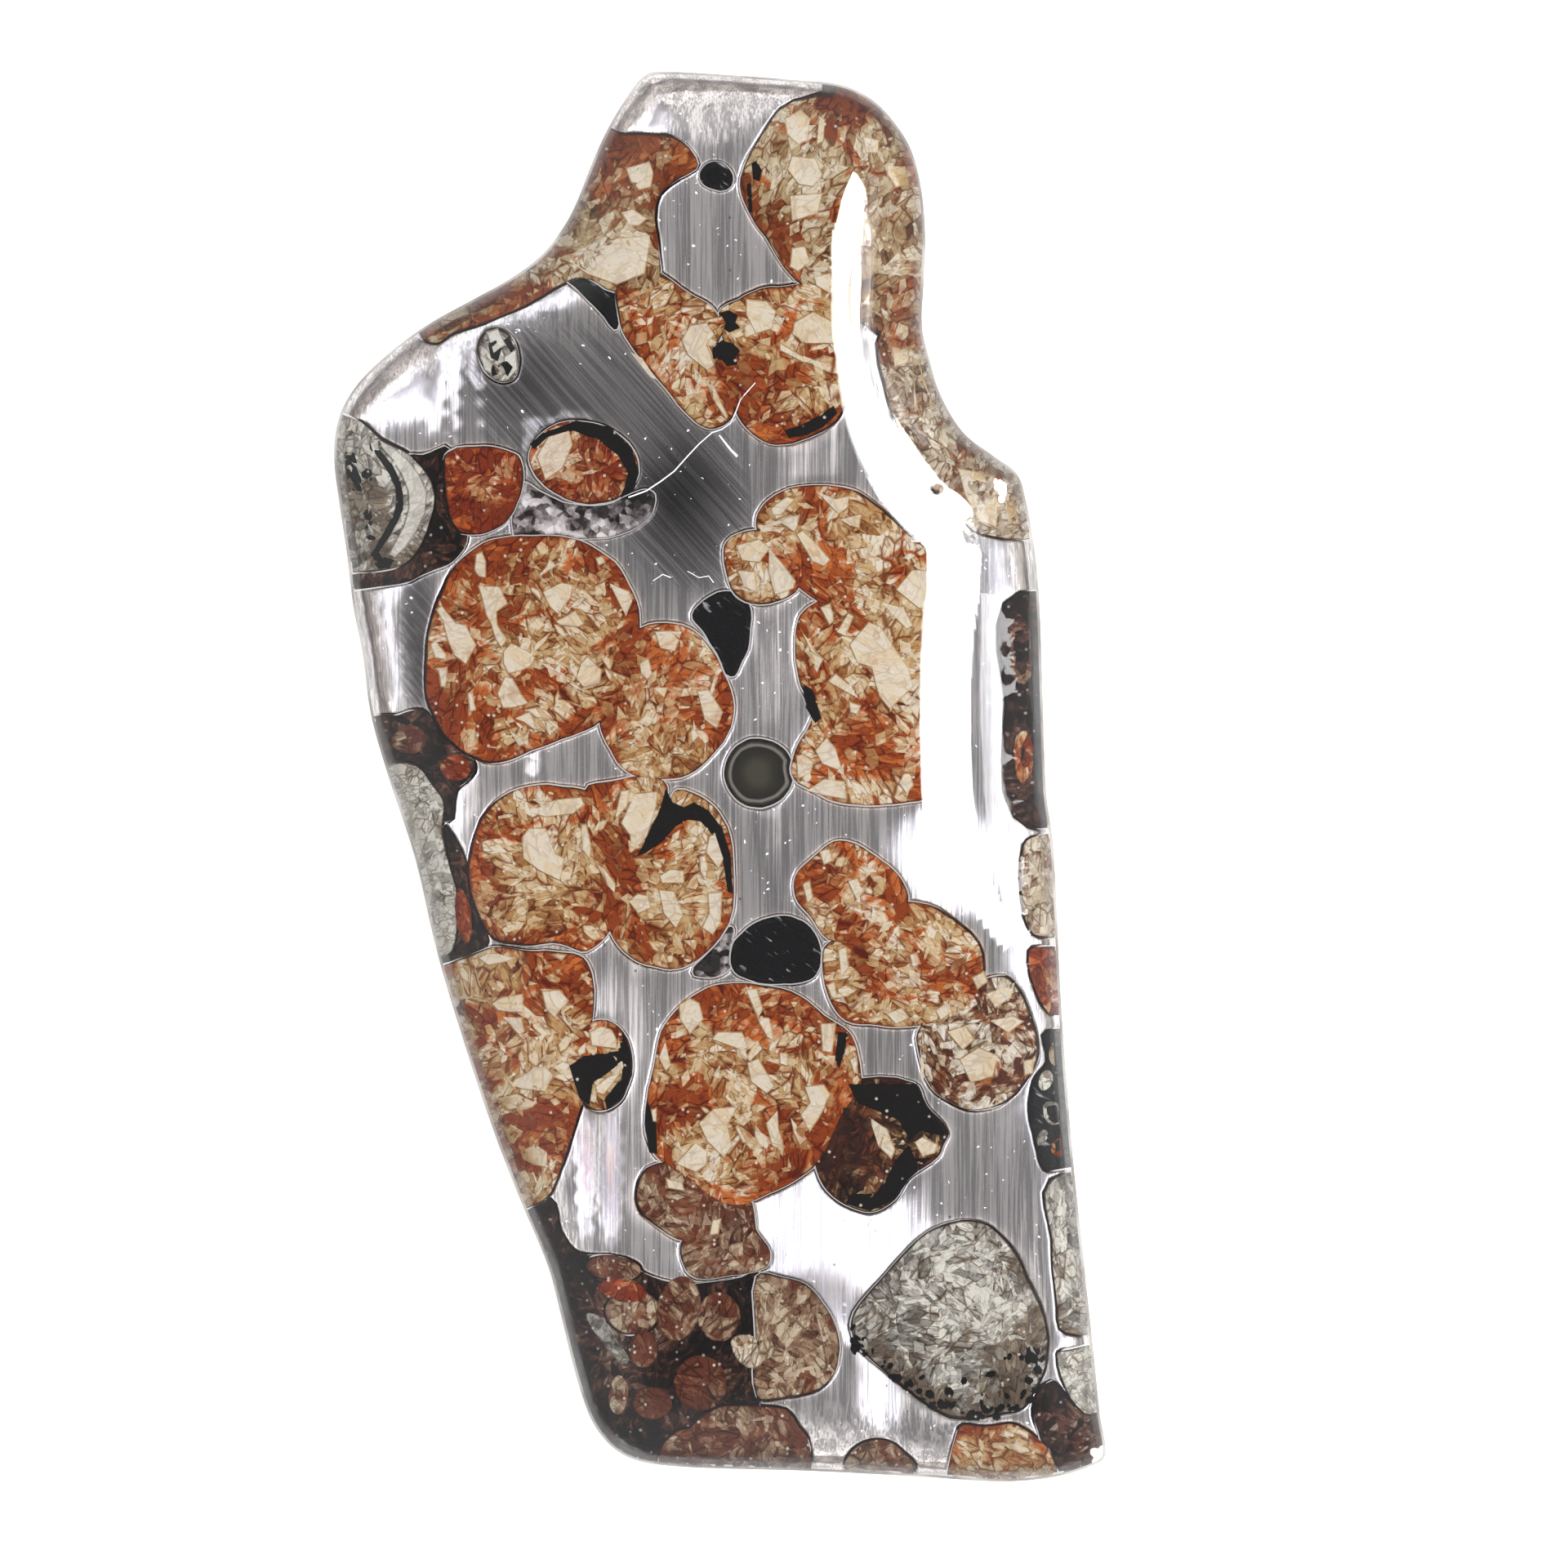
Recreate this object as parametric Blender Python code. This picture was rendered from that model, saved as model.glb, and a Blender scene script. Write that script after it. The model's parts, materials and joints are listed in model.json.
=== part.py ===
"""Pallasite meteorite slice sealed in clear resin.

The slice lies on its back face, with its polished face up and its narrow end towards +Y. Its rounded crystals, black
grains, rust masses and metal all go through it, so each piece is an outline raised to a prism and cut to the slice.
Outlines are read from a straight-on photograph, in its pixels, and LENGTH gives them their real size.
"""
from math import cos, hypot, radians, sin, tau

import bmesh
import bpy
from mathutils import Vector
from mathutils.geometry import delaunay_2d_cdt

# Driving dimensions, in metres
LENGTH = 0.052
THICKNESS = 0.0040
SLICE_THICKNESS = 0.0022
MARGIN = 0.00062  # clear resin around the slice
GAP = 0.0003  # between neighbouring pieces
POCKET_GAP = 0.00025  # between the slice and the resin

# The photograph's pixels
PHOTO_TOP, PHOTO_BOTTOM = 88, 1814
PHOTO_LEFT, PHOTO_RIGHT = 409, 1354
METRES_PER_PIXEL = LENGTH / (PHOTO_BOTTOM - PHOTO_TOP)

SLICE_BACK = (THICKNESS - SLICE_THICKNESS) / 2 - 0.0001
SLICE_FRONT = SLICE_BACK + SLICE_THICKNESS
PARTING = 0.00125  # in the upright middle of the rim, so that both halves have the full outline
REACH = 0.002  # how far cutters and prisms run past the slice

# Rounded rims: how far in from the silhouette, and how high
COAT_FRONT_ROWS = (
    (0.0, 0.0017),
    (0.00022, 0.00230),
    (0.00065, 0.00280),
    (0.0015, 0.00325),
    (0.0030, 0.00372),
    (0.0048, THICKNESS),
)
COAT_BACK_ROWS = ((0.0, 0.0008), (0.00022, 0.00025), (0.0008, 0.0))
SLICE_FRONT_ROWS = (
    (MARGIN, 0.0019),
    (MARGIN + 0.0004, 0.00235),
    (MARGIN + 0.0013, 0.00268),
    (MARGIN + 0.0026, SLICE_FRONT),
)
SLICE_BACK_ROWS = ((MARGIN, 0.00125), (MARGIN + 0.0004, SLICE_BACK))

SILHOUETTE = (
    (785, 96), (800, 88), (880, 91), (975, 98), (1030, 104), (1068, 122), (1096, 151), (1116, 184), (1128, 230),
    (1133, 290), (1131, 346), (1129, 400), (1138, 440), (1152, 484), (1180, 530), (1219, 560), (1246, 581),
    (1256, 612), (1265, 660), (1272, 724), (1277, 862), (1281, 970), (1290, 1040), (1300, 1240), (1313, 1408),
    (1327, 1544), (1340, 1665), (1347, 1733), (1354, 1776), (1347, 1790), (1293, 1808), (1225, 1814), (1124, 1808),
    (988, 1801), (853, 1797), (786, 1790), (752, 1774), (725, 1740), (704, 1679), (684, 1598), (671, 1550),
    (637, 1469), (603, 1381), (563, 1260), (535, 1165), (508, 1050), (475, 949), (454, 874), (444, 800), (433, 745),
    (425, 678), (415, 613), (409, 555), (416, 509), (438, 470), (478, 431), (523, 398), (575, 369), (627, 340),
    (666, 310), (692, 275), (706, 248), (725, 200), (744, 158), (770, 115),
)


def oval(x, y, across, down, tilt=0.0, steps=12):
    """An oval outline in pixels: its middle, its two half widths and its tilt in degrees."""
    c, s = cos(radians(tilt)), sin(radians(tilt))
    turns = [tau * i / steps for i in range(steps)]
    return [(x + across * cos(t) * c - down * sin(t) * s, y + across * cos(t) * s + down * sin(t) * c) for t in turns]


# Each piece's outlines. Outlines that share a name are crystals that grew together.
CRYSTALS = {
    "olivine_upper_cluster": (
        ((725, 168), (765, 165), (801, 167), (832, 174), (857, 204), (835, 222), (812, 242), (806, 270), (809, 310),
         (807, 348), (755, 360), (715, 345), (690, 354), (660, 372), (605, 397), (560, 412), (530, 426), (490, 400),
         (620, 320), (665, 280), (692, 235)),
        ((762, 336), (800, 330), (845, 360), (871, 375), (886, 403), (880, 424), (900, 446), (918, 464), (908, 488),
         (896, 513), (871, 526), (844, 513), (816, 479), (776, 430), (760, 400)),
        ((880, 385), (905, 366), (930, 355), (960, 351), (994, 350), (1035, 370), (1048, 400), (1045, 450),
         (1033, 500), (1018, 522), (990, 537), (950, 547), (920, 532), (898, 500), (890, 440)),
        ((954, 137), (988, 124), (1025, 122), (1075, 128), (1125, 150), (1155, 220), (1160, 330), (1155, 420),
         (1100, 425), (1050, 395), (1021, 378), (994, 362), (966, 338), (936, 292), (914, 256), (905, 220),
         (930, 173)),
        ((1078, 400), (1155, 400), (1170, 450), (1215, 510), (1280, 555), (1290, 650), (1200, 656), (1165, 625),
         (1130, 590), (1105, 550), (1085, 500)),
    ),
    "olivine_small_shard": (oval(613, 439, 25, 34, -20, 10),),
    "olivine_rust_round": (
        ((551, 553), (594, 547), (632, 555), (642, 572), (640, 600), (630, 625), (615, 645), (590, 655), (562, 650),
         (548, 610), (545, 575)),
    ),
    "olivine_red_oval": (oval(716, 567, 68, 50, 12, 14),),
    "olivine_pale_crescent": (
        ((436, 512), (472, 538), (503, 555), (526, 580), (536, 607), (530, 640), (512, 680), (487, 697), (445, 700),
         (385, 690), (375, 600), (380, 530)),
    ),
    "olivine_large_pair": (
        ((523, 814), (527, 772), (545, 718), (570, 682), (602, 661), (650, 656), (700, 659), (745, 680), (772, 716),
         (785, 759), (780, 810), (755, 860), (728, 890), (690, 906), (653, 921), (616, 934), (577, 925), (543, 894),
         (525, 855)),
        ((760, 790), (794, 765), (836, 765), (861, 781), (883, 814), (898, 854), (895, 891), (873, 925), (843, 949),
         (806, 955), (769, 946), (748, 918), (734, 888), (736, 835)),
    ),
    "olivine_centre_cluster": (
        ((886, 690), (890, 663), (921, 649), (950, 655), (985, 690), (978, 721), (958, 735), (928, 741),
         (899, 729)),
        ((924, 637), (940, 612), (976, 596), (1013, 595), (1050, 603), (1080, 627), (1110, 652), (1145, 690),
         (1148, 740), (1090, 750), (1020, 745), (970, 715), (945, 685), (928, 660)),
        ((976, 759), (992, 741), (1030, 728), (1060, 760), (1050, 850), (1020, 885), (985, 850), (973, 810)),
        ((1020, 735), (1060, 720), (1120, 705), (1148, 735), (1150, 790), (1145, 860), (1142, 895), (1050, 895),
         (1003, 880), (1005, 800)),
        ((1003, 870), (1050, 875), (1100, 875), (1142, 885), (1146, 930), (1138, 975), (1105, 984), (1065, 987),
         (1030, 984), (1000, 972), (970, 955), (970, 925), (985, 898)),
    ),
    "olivine_middle_trio": (
        ((576, 1071), (583, 1022), (604, 986), (638, 964), (684, 961), (720, 968), (752, 985), (772, 1015),
         (775, 1050), (762, 1095), (748, 1140), (720, 1166), (690, 1156), (647, 1157), (607, 1148), (585, 1114)),
        ((716, 968), (751, 955), (782, 949), (812, 955), (818, 975), (803, 1005), (791, 1035), (760, 1050),
         (740, 1015)),
        ((755, 1080), (770, 1050), (797, 1022), (818, 985), (830, 966), (867, 980), (892, 1012), (900, 1060),
         (894, 1130), (867, 1166), (837, 1185), (806, 1186), (776, 1176), (751, 1151), (742, 1115)),
    ),
    "olivine_pale_edge": (
        ((478, 930), (512, 936), (532, 960), (546, 980), (545, 1010), (550, 1045), (562, 1085), (564, 1130),
         (556, 1172), (520, 1200), (470, 1090), (430, 940)),
    ),
    "olivine_left_edge_pair": (
        ((575, 1170), (607, 1158), (653, 1162), (690, 1164), (716, 1172), (729, 1200), (728, 1245), (722, 1290),
         (718, 1340), (701, 1400), (690, 1430), (673, 1465), (640, 1480), (580, 1440), (530, 1300), (520, 1200)),
        oval(737, 1303, 39, 56, 0, 14),
    ),
    "olivine_lower_cluster": (
        ((861, 1210), (885, 1203), (930, 1205), (980, 1218), (1010, 1242), (1040, 1262), (1052, 1290), (1054, 1328),
         (1030, 1365), (1019, 1392), (1001, 1423), (973, 1446), (943, 1461), (912, 1474), (880, 1470), (840, 1440),
         (802, 1413), (790, 1376), (793, 1340), (800, 1306), (810, 1261), (833, 1231)),
        ((1035, 1324), (1120, 1324), (1134, 1352), (1159, 1384), (1155, 1402), (1148, 1417), (1114, 1441),
         (1096, 1469), (1065, 1484), (1035, 1475), (1007, 1450), (995, 1410), (1015, 1370)),
        ((780, 1450), (793, 1428), (823, 1422), (860, 1440), (905, 1468), (895, 1485), (872, 1502), (848, 1517),
         (826, 1514), (802, 1499), (784, 1480)),
        ((836, 1518), (862, 1500), (885, 1470), (918, 1466), (927, 1505), (944, 1532), (938, 1552), (897, 1562),
         (854, 1564), (838, 1550)),
    ),
    "olivine_right_cluster": (
        ((973, 1073), (995, 1049), (1022, 1029), (1050, 1033), (1080, 1052), (1104, 1076), (1112, 1105),
         (1090, 1135), (1050, 1150), (1013, 1150), (992, 1122), (973, 1100)),
        ((1007, 1190), (1007, 1160), (1031, 1142), (1062, 1125), (1093, 1105), (1135, 1107), (1166, 1125),
         (1191, 1147), (1202, 1175), (1195, 1215), (1165, 1245), (1112, 1257), (1074, 1255), (1035, 1249),
         (1013, 1220)),
        ((1122, 1262), (1148, 1226), (1184, 1205), (1227, 1194), (1248, 1215), (1262, 1250), (1268, 1290),
         (1252, 1325), (1227, 1350), (1191, 1360), (1158, 1348), (1136, 1326), (1124, 1291)),
    ),
    "olivine_rim_pale": (
        ((1250, 1035), (1275, 1020), (1330, 1015), (1335, 1140), (1290, 1148), (1262, 1145), (1248, 1100)),
    ),
    "olivine_rim_orange": (((1256, 1164), (1285, 1160), (1335, 1160), (1340, 1250), (1289, 1252), (1268, 1225)),),
    "olivine_rim_strip": (((1282, 1444), (1355, 1444), (1380, 1632), (1302, 1632), (1290, 1590), (1284, 1520)),),
    "olivine_tan_round": (
        ((926, 1562), (960, 1562), (995, 1578), (1019, 1612), (1029, 1649), (1019, 1682), (995, 1702), (958, 1708),
         (926, 1706), (924, 1640)),
    ),
    "olivine_brown_lens": (oval(754, 1551, 34, 17, 8, 10),),
    "olivine_tan_lens": (oval(777, 1604, 34, 29, 0, 10),),
    "olivine_grey_large": (
        ((1041, 1613), (1062, 1582), (1090, 1551), (1120, 1518), (1151, 1499), (1182, 1492), (1212, 1502),
         (1237, 1527), (1255, 1564), (1270, 1594), (1280, 1630), (1279, 1665), (1266, 1700), (1250, 1722),
         (1224, 1728), (1194, 1732), (1163, 1731), (1133, 1714), (1096, 1686), (1059, 1655), (1044, 1640)),
    ),
    "olivine_pale_corner": (((1290, 1656), (1305, 1650), (1380, 1650), (1385, 1740), (1345, 1745), (1306, 1710)),),
    "olivine_bottom_amber": (((1172, 1744), (1206, 1742), (1245, 1742), (1290, 1780), (1300, 1840), (1172, 1840)),),
    "olivine_bottom_disc": (
        ((1022, 1840), (1026, 1794), (1040, 1773), (1059, 1761), (1084, 1759), (1108, 1773), (1127, 1792),
         (1131, 1840)),
    ),
    "olivine_bottom_cluster": (
        ((795, 1840), (805, 1780), (814, 1760), (836, 1745), (870, 1745), (890, 1770), (900, 1840)),
        ((845, 1750), (872, 1722), (903, 1716), (935, 1716), (962, 1722), (978, 1742), (990, 1756), (992, 1840),
         (880, 1840)),
    ),
}
GRAINS = {
    "black_grain_top": (oval(878, 219, 21, 17, 20, 10),),
    "black_wedge": (((690, 335), (722, 343), (752, 352), (758, 405), (735, 385), (712, 362)),),
    "black_grain_centre": (
        ((846, 753), (867, 732), (892, 723), (918, 738), (919, 778), (910, 811), (895, 830), (877, 802),
         (861, 775)),
    ),
    "black_bead": (oval(929, 946, 43, 43, 0, 14),),
    "black_grain_lower": (
        ((894, 1168), (902, 1148), (927, 1128), (961, 1121), (989, 1131), (1004, 1156), (1002, 1192), (982, 1202),
         (952, 1206), (921, 1202), (899, 1190)),
    ),
    "black_grain_rim": (
        ((1262, 1322), (1276, 1300), (1276, 1262), (1345, 1262), (1360, 1436), (1295, 1432), (1275, 1432),
         (1264, 1400), (1257, 1360)),
    ),
}
OXIDES = {
    "oxide_left_shoulder": (
        ((420, 690), (500, 560), (523, 556), (553, 550), (575, 655), (560, 688), (527, 702), (500, 714),
         (380, 720)),
    ),
    "oxide_left_middle": (
        ((420, 876), (490, 874), (520, 868), (545, 895), (580, 925), (585, 945), (562, 968), (552, 1005), (440, 960)),
    ),
    "oxide_left_vein": (((540, 1012), (575, 1055), (600, 1150), (583, 1175), (548, 1175), (545, 1100)),),
    "oxide_lower_left": (
        ((630, 1480), (676, 1465), (690, 1505), (713, 1532), (762, 1536), (793, 1557), (836, 1569), (897, 1566),
         (935, 1560), (935, 1706), (900, 1728), (836, 1760), (800, 1840), (700, 1820), (630, 1560)),
    ),
    "oxide_right_rim": (((1228, 738), (1310, 738), (1320, 1005), (1238, 1000), (1228, 860)),),
    "oxide_corner_bar": (
        ((1262, 1722), (1282, 1690), (1310, 1716), (1350, 1760), (1385, 1780), (1350, 1840), (1290, 1840),
         (1272, 1760)),
    ),
}
PATCHES = {
    "granular_patch_upper": (
        ((640, 592), (662, 602), (690, 615), (740, 618), (785, 600), (803, 606), (795, 635), (760, 655), (700, 662),
         (660, 660), (628, 655)),
    ),
    "granular_patch_lower": (
        ((848, 1190), (865, 1168), (888, 1138), (898, 1134), (898, 1150), (896, 1185), (870, 1197)),
    ),
}
# A place inside each island of metal, in pixels
METAL = {
    "metal_top_cap": (850, 150),
    "metal_upper_centre": (870, 300),
    "metal_plate": (700, 480),
    "metal_left_strip": (490, 780),
    "metal_crescent": (640, 945),
    "metal_inner_strip": (760, 1400),
    "metal_sliver": (1000, 1222),
    "metal_lower_right": (1000, 1510),
}

# Colour, roughness and metallic value
FINISHES = {
    "resin": ((0.86, 0.85, 0.82), 0.05, 0.0),
    "metal": ((0.55, 0.54, 0.56), 0.30, 1.0),
    "olivine_amber": ((0.60, 0.32, 0.12), 0.25, 0.0),
    "olivine_pale": ((0.58, 0.55, 0.46), 0.25, 0.0),
    "black_mineral": ((0.02, 0.02, 0.025), 0.20, 0.0),
    "oxide": ((0.09, 0.04, 0.03), 0.45, 0.0),
    "granular": ((0.38, 0.34, 0.35), 0.45, 0.6),
}
PALE = {
    "olivine_small_shard", "olivine_pale_crescent", "olivine_pale_edge", "olivine_rim_pale", "olivine_rim_strip",
    "olivine_grey_large", "olivine_pale_corner",
}


def metres(pixel):
    """A pixel's place on the slice. The origin is below the middle of the sealed slice."""
    x = (pixel[0] - (PHOTO_LEFT + PHOTO_RIGHT) / 2) * METRES_PER_PIXEL
    y = ((PHOTO_TOP + PHOTO_BOTTOM) / 2 - pixel[1]) * METRES_PER_PIXEL
    return Vector((x, y))


def area(loop):
    return sum(a.cross(b) for a, b in zip(loop, loop[1:] + loop[:1])) / 2


def outline(pixels):
    """The outline in metres, anticlockwise."""
    loop = [metres(p) for p in pixels]
    return loop if area(loop) > 0 else loop[::-1]


def distance(point, loop):
    """From the point to the nearest side of the loop."""
    least = 1.0
    for a, b in zip(loop, loop[1:] + loop[:1]):
        side = b - a
        along = max(0.0, min(1.0, (point - a).dot(side) / side.length_squared))
        least = min(least, (point - a - side * along).length)
    return least


def shifted(loop, inwards):
    """The loop moved inwards, or outwards by a negative amount, without the points that corners would fold over."""
    moved = []
    for before, point, after in zip(loop[-1:] + loop[:-1], loop, loop[1:] + loop[:1]):
        first, second = (point - before).normalized(), (after - point).normalized()
        normal = Vector((-first.y - second.y, first.x + second.x)).normalized()
        stretch = max(0.5, normal.dot(Vector((-first.y, first.x))))
        place = point + normal * inwards / stretch
        if distance(place, loop) < abs(inwards) * 0.99:
            continue
        if not moved or (place - moved[-1][1]).dot(point - moved[-1][0]) > 0:
            moved.append((point, place))
    return [place for _, place in moved]


def sheet(bm, rows):
    """One domed face: a loop in from the silhouette for each row, joined by triangles. Returns the outermost loop."""
    points, heights, sides = [], [], []
    for inwards, height in rows:
        loop = shifted(outline(SILHOUETTE), inwards)
        first = len(points)
        points += loop
        heights += [height] * len(loop)
        sides += [(first + i, first + (i + 1) % len(loop)) for i in range(len(loop))]
    flat, _, triangles, sources, _, _ = delaunay_2d_cdt(points, sides, [], 1, 1e-8)
    verts = [bm.verts.new((p.x, p.y, heights[s[0]])) for p, s in zip(flat, sources)]
    for triangle in triangles:
        bm.faces.new([verts[i] for i in triangle])
    place = {s: verts[i] for i, source in enumerate(sources) for s in source}
    return [place[i] for i in range(len(shifted(outline(SILHOUETTE), rows[0][0])))]


def add_object(bm, name):
    mesh = bpy.data.meshes.new(name)
    bm.to_mesh(mesh)
    bm.free()
    part = bpy.data.objects.new(name, mesh)
    bpy.context.scene.collection.objects.link(part)
    return part


def domed_solid(name, front_rows, back_rows):
    """A flat solid with a rounded rim, from the rows of its front and its back."""
    bm = bmesh.new()
    front = sheet(bm, front_rows)
    back = sheet(bm, back_rows)
    for i in range(len(front)):
        j = (i + 1) % len(front)
        bm.faces.new((back[i], back[j], front[j], front[i]))
    bmesh.ops.recalc_face_normals(bm, faces=bm.faces)
    for height in (front_rows[-1][1], back_rows[-1][1]):
        flat = [f for f in bm.faces if all(abs(v.co.z - height) < 1e-7 for v in f.verts)]
        bmesh.ops.dissolve_faces(bm, faces=flat)
    return add_object(bm, name)


def prism(name, loop):
    """The outline raised through the whole slice."""
    bm = bmesh.new()
    low = [bm.verts.new((p.x, p.y, -REACH)) for p in loop]
    floor = bm.faces.new(low[::-1])
    raised = bmesh.ops.extrude_face_region(bm, geom=[floor])["geom"]
    top = [v for v in raised if isinstance(v, bmesh.types.BMVert)]
    bmesh.ops.translate(bm, verts=top, vec=(0, 0, THICKNESS + 2 * REACH))
    bmesh.ops.recalc_face_normals(bm, faces=bm.faces)
    return add_object(bm, name)


def as_cutter(part):
    part.hide_render = True
    part.display_type = "WIRE"
    return part


def cut(part, operation, other):
    step = part.modifiers.new(operation.lower(), "BOOLEAN")
    step.operation = operation
    step.solver = "EXACT"
    if isinstance(other, bpy.types.Collection):
        step.operand_type = "COLLECTION"
        step.collection = other
    else:
        step.object = other


def finish(name):
    """The material of this name, made the first time that it's asked for."""
    if name in bpy.data.materials:
        return bpy.data.materials[name]
    colour, roughness, metallic = FINISHES[name]
    material = bpy.data.materials.new(name)
    material.use_nodes = True
    shader = material.node_tree.nodes["Principled BSDF"]
    shader.inputs["Base Color"].default_value = (*colour, 1.0)
    shader.inputs["Roughness"].default_value = roughness
    shader.inputs["Metallic"].default_value = metallic
    if name == "resin":
        shader.inputs["Transmission Weight"].default_value = 1.0
        shader.inputs["IOR"].default_value = 1.5
    return material


def inner_piece(name, loops, slice_body, holes, look):
    """A crystal, grain or mass: its outlines joined, cut to the slice and clear of the pieces in holes."""
    parts = [prism(name if i == 0 else f"{name}_{i}", shifted(loop, GAP / 2)) for i, loop in enumerate(loops)]
    for other in parts[1:]:
        cut(parts[0], "UNION", as_cutter(other))
    cut(parts[0], "INTERSECT", slice_body)
    if holes.objects:
        cut(parts[0], "DIFFERENCE", holes)
    parts[0].data.materials.append(finish(look))


def add_holes(collection, name, loops):
    """What these outlines take out of the pieces that are made later."""
    for i, loop in enumerate(loops):
        hole = as_cutter(prism(f"{name}_hole_{i}", shifted(loop, -GAP / 2)))
        bpy.context.scene.collection.objects.unlink(hole)
        collection.objects.link(hole)


def pieces(table, slice_body, holes, look_of):
    """Every piece of one table, cut clear of the tables before it."""
    made = {name: [outline(pixels) for pixels in outlines] for name, outlines in table.items()}
    earlier = bpy.data.collections.new("holes")
    bpy.context.scene.collection.children.link(earlier)
    for hole in holes.objects:
        earlier.objects.link(hole)
    for name, loops in made.items():
        inner_piece(name, loops, slice_body, earlier, look_of(name))
    for name, loops in made.items():
        add_holes(holes, name, loops)


def islands(part):
    """The separate bodies of a part, with its modifiers applied."""
    shaped = part.evaluated_get(bpy.context.evaluated_depsgraph_get())
    bm = bmesh.new()
    bm.from_mesh(bpy.data.meshes.new_from_object(shaped))
    left = set(bm.verts)
    found = []
    while left:
        island, edge = set(), [left.pop()]
        while edge:
            vert = edge.pop()
            island.add(vert)
            near = {e.other_vert(vert) for e in vert.link_edges} & left
            left -= near
            edge += near
        found.append(island)
    return bm, found


def metal_pieces(slice_body, holes):
    """What the holes leave of the slice: an object for each island that METAL names. Smaller scraps are left out."""
    whole = domed_solid("metal", SLICE_FRONT_ROWS, SLICE_BACK_ROWS)
    cut(whole, "DIFFERENCE", holes)
    bm, found = islands(whole)
    for name, pixel in METAL.items():
        place = metres(pixel)
        nearest = min(found, key=lambda island: min(hypot(v.co.x - place.x, v.co.y - place.y) for v in island))
        piece = bm.copy()
        piece.verts.ensure_lookup_table()
        bm.verts.index_update()
        kept = {v.index for v in nearest}
        bmesh.ops.delete(piece, geom=[v for v in piece.verts if v.index not in kept], context="VERTS")
        add_object(piece, name).data.materials.append(finish("metal"))
    bm.free()
    bpy.data.objects.remove(whole)


def clear_coat():
    """The resin in two halves, with a pocket for the slice between them."""
    front_rows = [(inwards - POCKET_GAP, height + POCKET_GAP) for inwards, height in SLICE_FRONT_ROWS]
    back_rows = [(inwards - POCKET_GAP, height - POCKET_GAP) for inwards, height in SLICE_BACK_ROWS]
    pocket = as_cutter(domed_solid("pocket", front_rows, back_rows))
    for name, low, high in (
        ("clear_coat_front", PARTING + GAP / 2, THICKNESS + REACH),
        ("clear_coat_back", -REACH, PARTING - GAP / 2),
    ):
        half = domed_solid(name, COAT_FRONT_ROWS, COAT_BACK_ROWS)
        bpy.ops.mesh.primitive_cube_add(size=1)
        box = as_cutter(bpy.context.object)
        box.name = f"{name}_box"
        box.scale = (2 * LENGTH, 2 * LENGTH, high - low)
        box.location = (0, 0, (low + high) / 2)
        cut(half, "INTERSECT", box)
        cut(half, "DIFFERENCE", pocket)
        half.data.materials.append(finish("resin"))


def main():
    for part in list(bpy.data.objects):
        bpy.data.objects.remove(part)
    slice_body = as_cutter(domed_solid("slice_body", SLICE_FRONT_ROWS, SLICE_BACK_ROWS))
    holes = bpy.data.collections.new("all_holes")
    bpy.context.scene.collection.children.link(holes)
    pieces(CRYSTALS, slice_body, holes, lambda name: "olivine_pale" if name in PALE else "olivine_amber")
    pieces(GRAINS, slice_body, holes, lambda name: "black_mineral")
    pieces(OXIDES, slice_body, holes, lambda name: "oxide")
    pieces(PATCHES, slice_body, holes, lambda name: "granular")
    metal_pieces(slice_body, holes)
    clear_coat()


main()
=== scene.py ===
"""Pallasite meteorite slice sealed in clear resin: its metal, olivine, black grains, rust and resin.

Outlines are read from a straight-on photograph, in its pixels, and the frame gives them their real size.
Every piece inside is made through the whole slice, as in the frame: an outline filled with triangles, with
a top and a back at the heights of the slice's own faces.
"""

import json
from math import cos, pi, radians, sin, tau
from random import Random

import bpy
import numpy as np
from bpy.props import FloatProperty, FloatVectorProperty, IntProperty, PointerProperty
from bpy.types import Operator, Panel, PropertyGroup
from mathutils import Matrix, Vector, noise
from mathutils.bvhtree import BVHTree
from mathutils.geometry import delaunay_2d_cdt

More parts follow.
